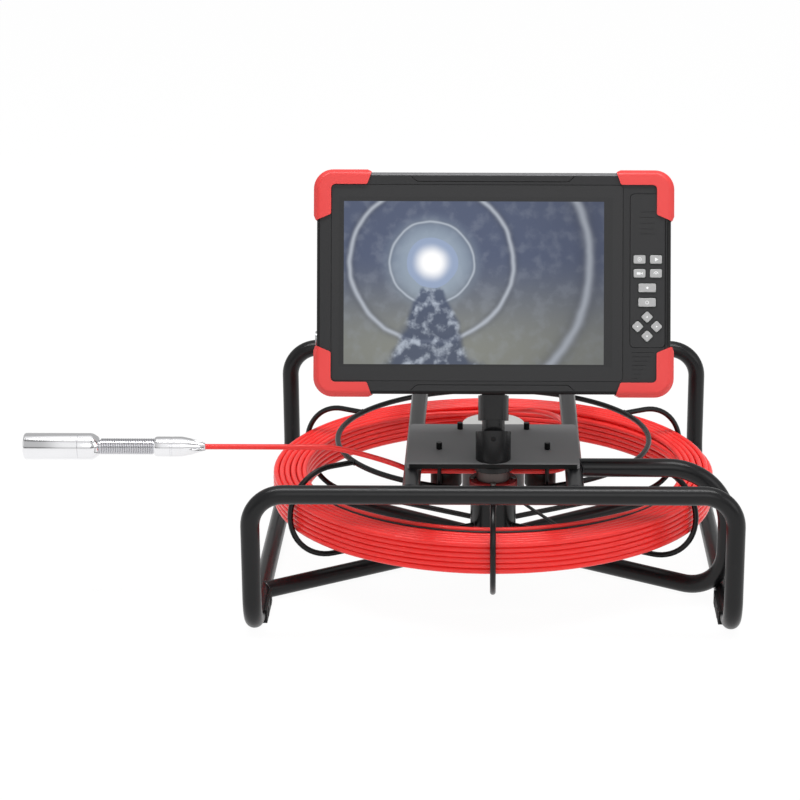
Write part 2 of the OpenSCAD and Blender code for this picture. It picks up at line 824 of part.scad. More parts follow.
module lcd_panel() {
    lcd_y = case_front + front_wall + seat;
    color("#50586a") at_face() block(lcd_y, lcd_y + lcd_t, [screen_x, glass_z], screen + [lcd_rim, lcd_rim]);
}

module main_board() {
    board_y = case_front + front_wall + seat + lcd_t + board_gap;
    color("#14502a") at_face() {
        block(board_y, board_y + board_t, [screen_x, glass_z], board);
        block(key_board_y, key_board_y + board_t, [keypad_x, key_board_z], key_board);
    }
}

module battery_pack() {
    battery_y = case_back - case_wall - battery_t;
    color("#2b3a5c") at_face() panel(battery_y, battery_y + battery_t, [screen_x, 6], battery, 5);
}

module keypad_panel() {
    color("#383838") at_face() difference() {
        panel(case_front, case_front + keypad_t, [keypad_x, keypad_z], keypad, 3.5);
        for (i = [0:9]) slab(case_front - 1, case_front + keypad_t + 1) key_outline(i, key_fit);
    }
}

module key(i) {
    color("#c0c0c0") at_face() {
        slab(case_front - key_proud, case_front + keypad_t + 0.3) key_outline(i);
        slab(case_front + keypad_t + 0.3, key_back) key_outline(i, key_lip);
    }
}

module key_photo() { key(0); }
module key_play() { key(1); }
module key_video() { key(2); }
module key_menu() { key(3); }
module key_record() { key(4); }
module key_power() { key(5); }
module key_up() { key(6); }
module key_left() { key(7); }
module key_right() { key(8); }
module key_down() { key(9); }

// L-shaped rubber corner that wraps the case, drawn for the upper right corner
module corner_bumper() {
    x1 = bumper_w / 2;
    z1 = bumper_h / 2;
    inner_x = x1 - bumper_face_x;
    inner_z = z1 - bumper_face_z;
    difference() {
        intersection() {
            slab(0, bumper_depth) rounded(bumper_w, bumper_h, bumper_r);
            slab(-1, bumper_depth + 1) polygon([
                [x1 + 1, z1 + 1], [x1 - bumper_arm_x, z1 + 1], [x1 - bumper_arm_x, z1 - bumper_side],
                [x1 - bumper_arm_x + arm_slant, inner_z], [inner_x - 3, inner_z], [inner_x, inner_z - 3],
                [inner_x, z1 - bumper_arm_z + arm_slant + 1.5], [x1 - bumper_side, z1 - bumper_arm_z],
                [x1 + 1, z1 - bumper_arm_z]]);
        }
        slab(bumper_face, bumper_depth - bumper_face) case_outline();
    }
}

module corner_bumpers() {
    color("#f05050") at_face() for (mx = [0, 1], mz = [0, 1])
        mirror([mx, 0, 0]) mirror([0, 0, mz]) corner_bumper();
}

module side_socket() {
    color("silver") at_face() translate(socket_at) along_x() difference() {
        union() {
            cylinder(d = jack_d, h = 8);
            cylinder(d = jack_d + 3, h = jack_rim);
        }
        translate([0, 0, -1]) cylinder(d = jack_bore_d, h = 6);
    }
}

module monitor_bracket() {
    bracket_low = pin_z - 5;
    color("#1b1b1c") at_face() difference() {
        union() {
            panel(case_back, case_back + bracket_t, [0, bracket_low + bracket[1] / 2], bracket, 5);
            mirror_x() translate([tongue_w / 2 + ear_gap, 0, 0]) rotate([90, 0, 90]) linear_extrude(ear_t) {
                translate([pin_y, pin_z]) circle(r = knuckle_r);
                polygon([[case_back + bracket_t, pin_z + 22], [case_back + bracket_t, bracket_low],
                    [pin_y, pin_z - knuckle_r], [pin_y + 6, pin_z + 5]]);
            }
        }
        translate([-bracket[0], pin_y, pin_z]) along_x() cylinder(d = pin_d, h = 2 * bracket[0]);
    }
}

module tilt_pin() {
    pin_l = tongue_w + 2 * (ear_gap + ear_t);
    color("silver") at_face() translate([-pin_l / 2, pin_y, pin_z]) along_x() {
        cylinder(d = pin_d, h = pin_l);
        for (end = [-pin_head_h, pin_l]) translate([0, 0, end]) cylinder(d = pin_d + 4, h = pin_head_h);
    }
}

// ---- reel ----

module reel_hub() {
    color("#161616") difference() {
        union() {
            translate([0, 0, hub_z]) cylinder(d = hub_d, h = hub_h);
            translate([0, 0, hub_z + hub_h - hub_flange_h]) cylinder(d = housing_d, h = hub_flange_h);
        }
        translate([0, 0, hub_z - 1]) cylinder(d = bearing_d - 5, h = hub_h + 2);
        translate([0, 0, hub_z - 1]) cylinder(d = bearing_d, h = bearing_low_z + bearing_h - hub_z + 1);
        translate([0, 0, bearing_high_z]) cylinder(d = bearing_d, h = hub_h);
    }
}

module hub_bearings() {
    color("silver") {
        translate([0, 0, bearing_low_z]) ring(bearing_d, axle_d + 2 * fit, bearing_h);
        translate([0, 0, bearing_high_z]) ring(bearing_d, axle_d + 2 * fit, bearing_h);
    }
}

module cage_rib() {
    difference() {
        union() {
            translate([ring_r, 0, ring_z]) along_x() cylinder(d = wire_d, h = rib_bend_x - ring_r);
            translate([rib_bend_x, 0, rib_mid_z]) rotate([90, 0, 0]) rotate([0, 0, -90])
                rotate_extrude(angle = 180) translate([rib_bend_r, 0]) circle(d = wire_d);
            translate([0, 0, spoke_z]) along_x() cylinder(d = wire_d, h = rib_bend_x);
        }
        translate([0, 0, ring_z]) rotate_extrude() translate([ring_r, 0]) circle(d = wire_d);
        translate([0, 0, hub_z - 1]) cylinder(d = hub_d, h = hub_h);
    }
}

module cage_ribs() {
    color("#121212") for (i = [0:rib_count - 1]) rotate([0, 0, 30 + i * 360 / rib_count]) cage_rib();
}

module cage_ring() {
    color("#121212") translate([0, 0, ring_z]) rotate_extrude() translate([ring_r, 0]) circle(d = wire_d);
}

// the outer turns show all round the winding, on a solid middle
module coil_section() {
    translate([turn_pitch / 2, layer_pitch / 2])
        square([coil_or - coil_ir - turn_pitch, coil_h - layer_pitch]);
    for (column = [0 : turns_across - 1], layer = [0 : turns_high - 1])
        if (column == 0 || column == turns_across - 1 || layer == 0 || layer == turns_high - 1)
            translate([turn_pitch * (column + 0.5), layer_pitch * (layer + 0.5)]) circle(d = cable_d);
}

module cable_coil() {
    color("#f03028") translate([0, 0, coil_z]) rotate_extrude() translate([coil_ir, 0]) coil_section();
}

module slip_ring_housing() {
    color("#b8b8b6") translate([0, 0, housing_z]) difference() {
        cylinder(d = housing_d, h = housing_h);
        translate([0, 0, -1]) cylinder(d = housing_d - 2 * housing_wall, h = housing_h - housing_wall + 1);
    }
}

module signal_lead() {
    color("#121212") {
        plug_at = lead_route[len(lead_route) - 1];
        cord(lead_route, lead_d);
        translate(plug_at) rotate([0, 90, lead_plug_a]) cylinder(d = lead_plug_d, h = lead_plug_l);
    }
}

// ---- free cable and camera head ----

module on_head_axis(x) {
    translate([x, head_y, head_z]) rotate([0, -90, 0]) children();
}

module push_cable() {
    color("#f03028") cord(cable_route, cable_d, 10);
}

module collet_nose() {
    color("#c8c8ca") on_head_axis(nose_x) rotate_extrude() polygon([
        [0, 0], [3.4, 0], [4.6, 1.5], [5.9, 5], [7, 9], [7.7, 13], [connector_d / 2 - 0.6, nose_l - 4],
        [connector_d / 2 - 0.6, nose_l], [0, nose_l]]);
}

module cable_connector() {
    color("#c8c8ca") on_head_axis(connector_x) rotate_extrude() polygon([
        [0, 0], [connector_d / 2, 0], [connector_d / 2, 7], [connector_d / 2 - 0.5, 7.3],
        [connector_d / 2 - 0.5, 8.2], [connector_d / 2, 8.5], [connector_d / 2, connector_l - 1],
        [connector_d / 2 - 1, connector_l], [0, connector_l]]);
}

module head_spring() {
    color("#a8a8aa") on_head_axis(spring_x) ring(spring_d, spring_d - 4.4, spring_l);
}

module head_collar() {
    color("#c8c8ca") on_head_axis(collar_x) rotate_extrude() polygon([
        [0, 0], [spring_d / 2, 0], [spring_d / 2 + 1.4, 1.2], [head_d / 2 - 1, 4.6], [head_d / 2, 7],
        [head_d / 2, head_collar_l], [head_d / 2 - head_wall - seat, head_collar_l],
        [head_d / 2 - head_wall - seat, head_collar_l + 6], [0, head_collar_l + 6]]);
}

module head_body() {
    body_x = collar_x - head_collar_l;
    body_l = head_l - head_collar_l;
    color("#d0d0d2") on_head_axis(body_x) difference() {
        union() {
            cylinder(d = head_d, h = body_l - 1);
            cylinder(d = head_d - 1.4, h = body_l);
        }
        translate([0, 0, -1]) cylinder(d = head_d - 2 * head_wall, h = body_l - bezel_t - window_t + 1);
        translate([0, 0, -1]) cylinder(d = head_d - 4 * head_wall, h = body_l + 2);
    }
}

module head_window() {
    color("#16181c") on_head_axis(head_x + bezel_t + window_t) translate([0, 0, -light_t])
        cylinder(d = head_d - 4 * head_wall - 2 * seat, h = window_t + light_t - 0.4);
}

module camera_module() {
    color("#20242a") on_head_axis(head_x + bezel_t + window_t + light_t + sensor_l + 1)
        cylinder(d = sensor_d, h = sensor_l + 0.8);
}

frame_front();
frame_rear();
rail_sleeves();
side_bars();
support_loop();
base_arms();
axle_base();
reel_axle();
axle_nut();
axle_clip();
slip_ring_core();
rubber_feet();
top_plate();
guide_bolts();
roller_brackets();
guide_roller_left();
guide_roller_right();
post_socket();
lock_nut();
swivel_sleeve();
swivel_flange();
post_screws();
swivel_shaft();
upper_collar();
monitor_front();
monitor_back();
screen_glass();
lcd_panel();
main_board();
battery_pack();
keypad_panel();
key_photo();
key_play();
key_video();
key_menu();
key_record();
key_power();
key_up();
key_left();
key_right();
key_down();
corner_bumpers();
side_socket();
monitor_bracket();
tilt_pin();
reel_hub();
hub_bearings();
cage_ribs();
cage_ring();
cable_coil();
slip_ring_housing();
signal_lead();
push_cable();
collet_nose();
cable_connector();
head_spring();
head_collar();
head_body();
head_window();
camera_module();
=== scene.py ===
import json
import math

import bmesh
import bpy
from mathutils import Matrix, Quaternion, Vector, geometry

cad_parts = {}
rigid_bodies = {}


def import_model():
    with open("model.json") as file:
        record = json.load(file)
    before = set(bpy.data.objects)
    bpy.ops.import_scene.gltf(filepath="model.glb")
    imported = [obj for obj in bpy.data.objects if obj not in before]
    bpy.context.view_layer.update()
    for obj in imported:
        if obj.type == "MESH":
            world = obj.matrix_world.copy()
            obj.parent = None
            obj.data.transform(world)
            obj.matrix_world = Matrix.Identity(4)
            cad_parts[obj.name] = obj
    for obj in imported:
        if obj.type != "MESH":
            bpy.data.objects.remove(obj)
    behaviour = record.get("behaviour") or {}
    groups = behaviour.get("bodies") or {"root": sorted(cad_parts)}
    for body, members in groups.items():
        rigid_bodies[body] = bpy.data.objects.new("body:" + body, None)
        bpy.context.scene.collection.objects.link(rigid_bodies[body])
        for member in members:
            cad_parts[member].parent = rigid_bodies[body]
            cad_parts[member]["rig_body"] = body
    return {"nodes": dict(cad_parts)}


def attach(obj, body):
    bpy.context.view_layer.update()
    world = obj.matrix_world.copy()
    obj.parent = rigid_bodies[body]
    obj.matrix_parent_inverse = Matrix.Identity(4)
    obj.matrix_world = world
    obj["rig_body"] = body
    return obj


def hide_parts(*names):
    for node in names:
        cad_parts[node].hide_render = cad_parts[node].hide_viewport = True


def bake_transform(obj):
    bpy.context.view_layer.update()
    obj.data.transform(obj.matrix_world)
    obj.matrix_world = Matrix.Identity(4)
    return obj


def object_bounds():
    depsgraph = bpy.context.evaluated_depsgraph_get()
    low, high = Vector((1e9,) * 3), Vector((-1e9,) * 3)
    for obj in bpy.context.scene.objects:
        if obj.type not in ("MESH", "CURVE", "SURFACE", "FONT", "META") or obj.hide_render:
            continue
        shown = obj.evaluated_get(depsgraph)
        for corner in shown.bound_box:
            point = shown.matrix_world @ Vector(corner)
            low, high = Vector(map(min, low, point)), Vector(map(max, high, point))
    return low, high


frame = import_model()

cad_low, cad_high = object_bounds()
MM = 0.001

# ---- Camera ----
# A long lens just over two metres in front, looking down at the same slope as the screen leans back. Its
# view is shifted to the left, so that the camera head's free end is in it.
look_down = math.radians(17.8)
camera_roll = math.radians(0.19)
camera_data = bpy.data.cameras.new("studio_camera")
camera_data.sensor_width = 36
camera_data.lens = 110.25
camera_data.shift_x = -0.1168
camera = bpy.data.objects.new("studio_camera", camera_data)
camera.location = (0, -2.1232, 0.8246)
camera.rotation_mode = "QUATERNION"
camera.rotation_quaternion = (
    Quaternion((1, 0, 0), math.pi / 2 - look_down) @ Quaternion((0, 0, 1), camera_roll))
bpy.context.scene.collection.objects.link(camera)
bpy.context.scene.camera = camera


# ---- Push cable ----
# The free end of the push cable: a glass-fibre rod in a glossy red polypropylene jacket, 4.8 mm thick.
# It leaves the inner upper turn at the back, comes forward on the right, goes round the right roller and
# along both grooves, and stands out to the left. There it ends inside the camera head's spring.

class Wire:
    """One output in a finish's node tree. Arithmetic on it adds Math nodes."""

    def __init__(self, finish, socket):
        self.finish = finish
        self.socket = socket

    def math(self, operation, *others):
        terms = dict(enumerate([self, *others]))
        return self.finish.node("Math", terms, {"operation": operation})

    def __add__(self, other):
        return self.math("ADD", other)

    def __sub__(self, other):
        return self.math("SUBTRACT", other)

    def __rsub__(self, other):
        return self.finish.node("Math", {0: other, 1: self}, {"operation": "SUBTRACT"})

    def __mul__(self, other):
        return self.math("MULTIPLY", other)

    def __truediv__(self, other):
        return self.math("DIVIDE", other)

    __radd__ = __add__
    __rmul__ = __mul__


class Finish:
    """A procedural finish: nodes that feed one Principled shader."""

    def __init__(self, name, **uniform):
        self.material = bpy.data.materials.new(name)
        self.material.use_nodes = True
        self.nodes = self.material.node_tree.nodes
        self.shader = self.nodes["Principled BSDF"]
        for key, value in uniform.items():
            self.shader.inputs[key.replace("_", " ")].default_value = value

    def feed(self, socket, value):
        if isinstance(value, Wire):
            self.material.node_tree.links.new(value.socket, socket)
        else:
            socket.default_value = value

    def node(self, kind, inputs=None, settings=None, out=0):
        """Adds a shader node, makes its settings, then feeds its sockets; returns one output."""
        made = self.nodes.new("ShaderNode" + kind)
        for key, value in (settings or {}).items():
            setattr(made, key, value)
        for key, value in (inputs or {}).items():
            self.feed(made.inputs[key], value)
        return Wire(self, made.outputs[out])

    def set(self, socket, value):
        self.feed(self.shader.inputs[socket], value)

    def place(self):
        return self.node("TexCoord", out="Object")

    def parts(self, where=None):
        """The X, Y and Z of a place."""
        split = self.node("SeparateXYZ", {"Vector": where or self.place()})
        return [Wire(self, output) for output in split.socket.node.outputs]

    def noise(self, scale, detail=2, where=None):
        return self.node("TexNoise", {"Vector": where or self.place(), "Scale": scale, "Detail": detail})

    def mix(self, share, low, high):
        inputs = {0: share, 6: low, 7: high}
        return self.node("Mix", inputs, {"data_type": "RGBA"}, out=2)

    def ease(self, value, low, high, to_low=0.0, to_high=1.0):
        """A smooth step of a value from one range to another."""
        inputs = {"Value": value, "From Min": low, "From Max": high, "To Min": to_low, "To Max": to_high}
        return self.node("MapRange", inputs, {"interpolation_type": "SMOOTHSTEP"})

    def bump(self, height, depth):
        self.set("Normal", self.node("Bump", {"Height": height, "Distance": depth}))


def tone(code, level=1.0):
    """A written colour, such as c83020, as linear light."""
    linear = []
    for i in (0, 2, 4):
        share = int(code[i:i + 2], 16) / 255
        share = share / 12.92 if share <= 0.04045 else ((share + 0.055) / 1.055) ** 2.4
        linear.append(min(1.0, share * level))
    return (*linear, 1.0)


class Tree:
    """A Geometry Nodes tree with named inputs. It ends in real geometry with a finish on it."""

    def __init__(self, name, **inputs):
        self.tree = bpy.data.node_groups.new(name, "GeometryNodeTree")
        for label, kind in {"Shape": "Geometry", **inputs, "Finish": "Material"}.items():
            self.tree.interface.new_socket(label, in_out="INPUT", socket_type="NodeSocket" + kind)
        self.tree.interface.new_socket("Shape", in_out="OUTPUT", socket_type="NodeSocketGeometry")
        self.entry = self.tree.nodes.new("NodeGroupInput")

    def given(self, label):
        return self.entry.outputs[label]

    def step(self, kind, inputs=None, settings=None, out=0):
        made = self.tree.nodes.new(kind)
        for key, value in (settings or {}).items():
            setattr(made, key, value)
        for key, value in (inputs or {}).items():
            if isinstance(value, bpy.types.NodeSocket):
                self.tree.links.new(value, made.inputs[key])
            else:
                made.inputs[key].default_value = value
        return made.outputs[out]

    def close(self, shape):
        real = self.step("GeometryNodeRealizeInstances", {"Geometry": shape})
        dressed = self.step("GeometryNodeSetMaterial", {"Geometry": real, "Material": self.given("Finish")})
        exit_node = self.tree.nodes.new("NodeGroupOutput")
        self.tree.links.new(dressed, exit_node.inputs["Shape"])
        return self


def plain(piece):
    """What an object looks like with its modifiers, as a plain mesh."""
    seen = piece.evaluated_get(bpy.context.evaluated_depsgraph_get())
    return bpy.data.meshes.new_from_object(seen)


def put(name, mesh):
    piece = bpy.data.objects.new(name, mesh)
    bpy.context.scene.collection.objects.link(piece)
    return piece


def grow(name, tree, mesh, finish, **values):
    """Runs a tree on a mesh and returns the result as a plain mesh."""
    holder = put(name + "_path", mesh)
    modifier = holder.modifiers.new("grow", "NODES")
    modifier.node_group = tree.tree
    values["Finish"] = finish.material
    for item in tree.tree.interface.items_tree:
        if item.in_out == "INPUT" and item.name in values:
            modifier[item.identifier] = values[item.name]
    made = plain(holder)
    bpy.data.objects.remove(holder)
    made.set_sharp_from_angle(angle=math.radians(40))
    made.shade_smooth()
    return made


def join(name, piece, body, nodes=()):
    """Names a finished piece, fixes it to its body and hides the CAD nodes that it stands for."""
    piece.name = name
    if body:
        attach(piece, body)
    if nodes:
        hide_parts(*nodes)
    return piece


def tube_tree():
    """A round tube with closed ends along each run of edges."""
    tree = Tree("tube_along_path", Radius="Float", Sides="Int")
    line = tree.step("GeometryNodeMeshToCurve", {"Mesh": tree.given("Shape")})
    profile = tree.step("GeometryNodeCurvePrimitiveCircle",
                        {"Resolution": tree.given("Sides"), "Radius": tree.given("Radius")},
                        {"mode": "RADIUS"})
    walls = tree.step("GeometryNodeCurveToMesh",
                      {"Curve": line, "Profile Curve": profile, "Fill Caps": True})
    return tree.close(walls)


def line_mesh(name, runs, loop=False):
    """Runs of points in millimetres as edges."""
    points = []
    edges = []
    for run in runs:
        first = len(points)
        points += [Vector(p) * MM for p in run]
        edges += [(i, i + 1) for i in range(first, len(points) - 1)]
        if loop:
            edges.append((len(points) - 1, first))
    mesh = bpy.data.meshes.new(name)
    mesh.from_pydata(points, edges, [])
    return mesh


def flowing(points, steps):
    """A smooth run through chosen points."""
    ends = [points[0] * 2 - points[1], *points, points[-1] * 2 - points[-2]]
    run = []
    for i in range(1, len(ends) - 2):
        a, b, c, d = ends[i - 1:i + 3]
        for k in range(steps):
            t = k / steps
            run.append((b * 2 + (c - a) * t + (a * 2 - b * 5 + c * 4 - d) * t * t
                        + (b * 3 - a - c * 3 + d) * t ** 3) / 2)
    return [*run, points[-1]]


tube = tube_tree()


def tubes(name, runs, radius, finish, body, nodes=(), sides=28, loop=False):
    """Round tubes along runs of points, as one finished piece."""
    mesh = grow(name, tube, line_mesh(name, runs, loop), finish, Radius=radius * MM, Sides=sides)
    return join(name, put(name, mesh), body, nodes)


cable_d = 4.8
feed_y = -123.4
feed_z = 118.0
head_z = 139.4
nose_x = -248.1
cable_route = [
    (-28, 165, 76), (0, 162, 79), (26, 151, 84), (46, 130, 89), (59, 102, 94), (65, 70, 99),
    (66.5, 35, 103), (67, 0, 107), (67, -35, 110), (67, -65, 113), (67, -85, 115.4), (66.8, -98, 117),
    (65.2, -108, 117.8), (61, -115.3, feed_z), (55, -120.2, feed_z), (47.5, -123, feed_z),
    (40, feed_y, feed_z), (20, feed_y, feed_z), (0, feed_y, feed_z), (-20, feed_y, feed_z),
    (-40, feed_y, feed_z), (-56, feed_y, feed_z), (-66, feed_y, 118), (-74, feed_y, 119.5),
    (-84, feed_y, 123.6), (-96, feed_y, 127.8), (-108, feed_y, 131.5), (-120, feed_y, 134.8),
    (-130, feed_y, 137.1), (-140, feed_y, 138.8), (-152, feed_y, head_z), (-170, feed_y, head_z),
    (-190, feed_y, head_z), (-210, feed_y, head_z), (-230, feed_y, head_z), (nose_x, feed_y, head_z)]
inner_step = 4.0
inner_steps = 24

jacket = Finish("red_jacket", Specular_IOR_Level=0.35, Coat_Roughness=0.12)
jacket_cloud = jacket.noise(30, 3)
jacket_skin = jacket.noise(1400, 2)
jacket_scuff = jacket.ease(jacket.noise(160, 4), 0.62, 0.72)
jacket_red = jacket.mix(jacket_cloud, tone("fa302e"), tone("ff3a36"))
jacket.set("Base Color", jacket.mix(jacket_scuff * 0.15, jacket_red, tone("f65e56")))
jacket.set("Roughness", jacket_skin * 0.06 + jacket_scuff * 0.1 + 0.28)
jacket.set("Coat Weight", 0.15 - jacket_scuff * 0.1)
jacket.bump(jacket_skin, 0.012 * MM)

cable_path = flowing([Vector(p) for p in cable_route], 4)
cable_path += [Vector((nose_x - inner_step * k, feed_y, head_z)) for k in range(1, inner_steps + 1)]
push_cable = tubes("free_push_cable", [cable_path], cable_d / 2, jacket, None, ["push_cable"],
                   sides=20)
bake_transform(push_cable)


# ---- Bent tube frame ----
# Two bent halves of 16 mm steel tube, each a hoop with half of both floor rails, meet on sleeves inside the
# rails. Two 15 mm bars join the hoops at the top, a loop braces the right side and three arms carry the
# centre boss. All is welded, then powder coated black.

def bent(corners, radius, steps=14):
    """A run through corner points with each inner corner bent round a radius."""
    radii = radius if isinstance(radius, list) else [radius] * (len(corners) - 2)
    corners = [Vector(c) for c in corners]
    run = [corners[0]]
    for before, corner, after, r in zip(corners, corners[1:], corners[2:], radii):
        u = (before - corner).normalized()
        v = (after - corner).normalized()
        half = u.angle(v) / 2
        centre = corner + (u + v).normalized() * (r / math.sin(half))
        start = corner + u * (r / math.tan(half)) - centre
        end = corner + v * (r / math.tan(half)) - centre
        turn = start.angle(end)
        axis = start.cross(end).normalized()
        run += [centre + Quaternion(axis, turn * k / steps) @ start for k in range(steps + 1)]
    return [*run, corners[-1]]


def polar(r, angle, at=(0, 0)):
    """The point at a radius and an angle round a middle."""
    return (at[0] + r * math.cos(angle), at[1] + r * math.sin(angle))


def heading(degrees):
    return Vector((*polar(1, math.radians(degrees)), 0))


tube_r = 8.0
bar_r = 7.5
rail_x = 202.5
bar_y = 213.5
frame_h = 128.4
bend_r = 28.0
half_gap = 0.05
bar_x = 68.7
bar_short = 2.0
loop_y = -143.1
loop_bends = [54, 43.5]
boss_r = 25.0
front_arm = 32.5
rear_arm = 34.5
arm_headings = [heading(angle) for angle in (180 + front_arm, 180 - rear_arm, rear_arm)]
arm_short = 3.0
arm_in_boss = 4.0

black_coat = Finish("black_powder_coat", Specular_IOR_Level=0.3)
coat_cloud = black_coat.noise(14, 3)
coat_peel = black_coat.noise(520, 1)
coat_fine = black_coat.noise(2600, 2)
coat_rub = black_coat.ease(black_coat.noise(70, 5), 0.64, 0.74)
coat_black = black_coat.mix(coat_cloud, tone("0e0e0f"), tone("171719"))
black_coat.set("Base Color", black_coat.mix(coat_rub * 0.2, coat_black, tone("2c2c2e")))
black_coat.set("Roughness", coat_fine * 0.06 + coat_rub * 0.12 + 0.27)
black_coat.bump(coat_peel * 0.5 + coat_fine * 0.5, 0.012 * MM)


def frame_tube(name, runs, radius, node):
    return tubes(name, runs, radius, black_coat, "base", [node], sides=40)


for name, side, node in (("front_hoop", -1, "frame_front"), ("rear_hoop", 1, "frame_rear")):
    left = [(-rail_x, half_gap * side, tube_r), (-rail_x, bar_y * side, tube_r),
            (-rail_x, bar_y * side, frame_h)]
    right = [(-x, y, z) for x, y, z in left[::-1]]
    frame_tube(name, [bent(left + right, bend_r)], tube_r, node)

bar_end = bar_y - bar_short
top_bars = [[(x, -bar_end, frame_h), (x, bar_end, frame_h)] for x in (-bar_x, bar_x)]
frame_tube("top_bars", top_bars, bar_r, "side_bars")

loop_foot_y = -rail_x * math.tan(math.radians(front_arm))
loop_corners = [(bar_x + bar_short, loop_y, frame_h), (rail_x, loop_y, frame_h),
                (rail_x, loop_foot_y, tube_r), (0.1 * rail_x, 0.1 * loop_foot_y, tube_r)]
frame_tube("brace_loop", [bent(loop_corners, loop_bends, 20)], tube_r, "support_loop")

on_floor = Vector((0, 0, tube_r))
arm_runs = []
for along in arm_headings:
    reach = (rail_x - arm_short) / abs(along.x)
    arm_runs.append([along * (boss_r - arm_in_boss) + on_floor, along * reach + on_floor])
frame_tube("floor_arms", arm_runs, bar_r, "base_arms")

weld_r = 0.9
weld_proud = 0.15
weld_lowest = 1.2


def looped(points):
    return [*points, points[0]]


def weld_loop(at, along, radius, main_axis, main_radius, steps=56):
    """The line round a branch tube where it meets a main tube, both axes crossing at a point."""
    at, along, main_axis = Vector(at), Vector(along).normalized(), Vector(main_axis).normalized()
    first = along.orthogonal().normalized()
    second = along.cross(first)
    away = along - main_axis * along.dot(main_axis)
    loop = []
    for k in range(steps):
        turn = math.tau * k / steps
        rim = (first * math.cos(turn) + second * math.sin(turn)) * (radius + weld_proud)
        flat = rim - main_axis * rim.dot(main_axis)
        a, b, c = away.dot(away), 2 * flat.dot(away), flat.dot(flat) - (main_radius + weld_proud) ** 2
        shift = (-b + math.sqrt(max(0.0, b * b - 4 * a * c))) / (2 * a)
        point = at + rim + along * shift
        loop.append(Vector((point.x, point.y, max(point.z, weld_lowest))))
    return loop


def moulded(name, colour, roughness, grain, depth, uneven=0.08, **uniform):
    """Paint, plastic or rubber: slightly uneven in colour and sheen, over a fine skin."""
    made = Finish(name, **uniform)
    cloud = made.noise(22, 3)
    skin = made.noise(grain, 2)
    made.set("Base Color", made.mix(cloud, tone(colour, 1 - uneven), tone(colour, 1 + uneven)))
    made.set("Roughness", cloud * 0.08 + skin * 0.06 + (roughness - 0.07))
    made.bump(skin, depth)
    return made


weld_coat = moulded("coated_weld", "17171a", 0.34, grain=260, depth=0.25 * MM, Specular_IOR_Level=0.5)
welds = []
for x in (-bar_x, bar_x):
    for side in (-1, 1):
        welds.append(weld_loop((x, side * bar_y, frame_h), (0, -side, 0), bar_r, (1, 0, 0), tube_r))
welds.append(weld_loop((bar_x, loop_y, frame_h), (1, 0, 0), tube_r, (0, 1, 0), tube_r + 0.05))
for along in arm_headings:
    welds.append(weld_loop(on_floor, along, bar_r, (0, 0, 1), boss_r))
    rail_end = along * (rail_x / abs(along.x)) + on_floor
    welds.append(weld_loop(rail_end, -along, bar_r, (0, 1, 0), tube_r))
welds.append(weld_loop(on_floor, (rail_x, loop_foot_y, 0), tube_r, (0, 0, 1), boss_r))
tubes("weld_beads", [looped(w) for w in welds], weld_r, weld_coat, "base", sides=8)


# ---- Feet, centre boss and axle ----
# Rubber strips moulded to the inner side of the floor rails, each with two screws, a turned steel boss
# with the arms welded to it, and the steel axle that stands in it on a nut. The slip ring's brass core sits
# on top of the axle.

merge_d = 0.002 * MM


def kept(shape, name):
    """The mesh of an edited shape, which is then let go."""
    mesh = bpy.data.meshes.new(name)
    shape.to_mesh(mesh)
    shape.free()
    mesh.shade_smooth()
    return mesh


def merge_faces(shape):
    """Takes out the edges inside flat faces."""
    bmesh.ops.dissolve_limit(shape, angle_limit=math.radians(0.4), verts=shape.verts, edges=shape.edges)


def eased(node, width, finish, segments=2):
    """A CAD node's own shape with its edges broken by a small round, in its finish."""
    source = frame["nodes"][node]
    shape = bmesh.new()
    shape.from_mesh(source.data)
    bmesh.ops.remove_doubles(shape, verts=shape.verts, dist=merge_d)
    merge_faces(shape)
    mesh = kept(shape, node + "_mesh")
    mesh.materials.clear()
    mesh.materials.append(finish.material)
    piece = round_edges(put("worked_" + node, mesh), width, segments)
    return join(piece.name, piece, source["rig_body"], [node])


def round_edges(piece, width, segments=2):
    bevel = piece.modifiers.new("round_edges", "BEVEL")
    bevel.width = width * MM
    bevel.segments = segments
    bevel.limit_method = "ANGLE"
    bevel.angle_limit = math.radians(32)
    flats = piece.modifiers.new("flat_faces", "WEIGHTED_NORMAL")
    flats.weight = 80
    return piece


def dress(node, finish):
    """Gives a CAD node its finish."""
    for slot in frame["nodes"][node].material_slots:
        slot.material = finish.material


def metal(name, colour, roughness, uneven=0.06):
    """Plated or bare metal with a fine tooled surface."""
    made = Finish(name, Metallic=1.0)
    cloud = made.noise(40, 3)
    lines = made.noise(1200, 2)
    made.set("Base Color", made.mix(cloud, tone(colour, 1 - uneven), tone(colour, 1 + uneven)))
    made.set("Roughness", cloud * 0.1 + lines * 0.08 + (roughness - 0.09))
    made.bump(lines, 0.006 * MM)
    return made


foot_rubber = moulded("black_rubber", "121212", 0.6, grain=1500, depth=0.04 * MM, Specular_IOR_Level=0.25)
steel = metal("bright_steel", "c4c4c6", 0.26)
zinc = metal("zinc_plate", "aeb0b2", 0.34)
brass = metal("brass_rings", "c8a050", 0.3)
brass.set("Base Color", brass.mix(brass.noise(60, 3), tone("b8903f"), tone("d8b464")))
dark_steel = metal("dark_steel", "5a5a5c", 0.36)

# The feet stand less proud of the rails' inner sides than their node does.
rail_side = (rail_x - tube_r) * MM
foot_share = 0.45
feet = eased("rubber_feet", 0.5, foot_rubber)
for vertex in feet.data.vertices:
    proud = rail_side - abs(vertex.co.x)
    if proud > 0:
        vertex.co.x = math.copysign(rail_side - proud * foot_share, vertex.co.x)
eased("axle_base", 0.8, black_coat)
dress("rail_sleeves", steel)
dress("reel_axle", steel)
dress("axle_nut", zinc)
dress("axle_clip", dark_steel)
dress("slip_ring_core", brass)


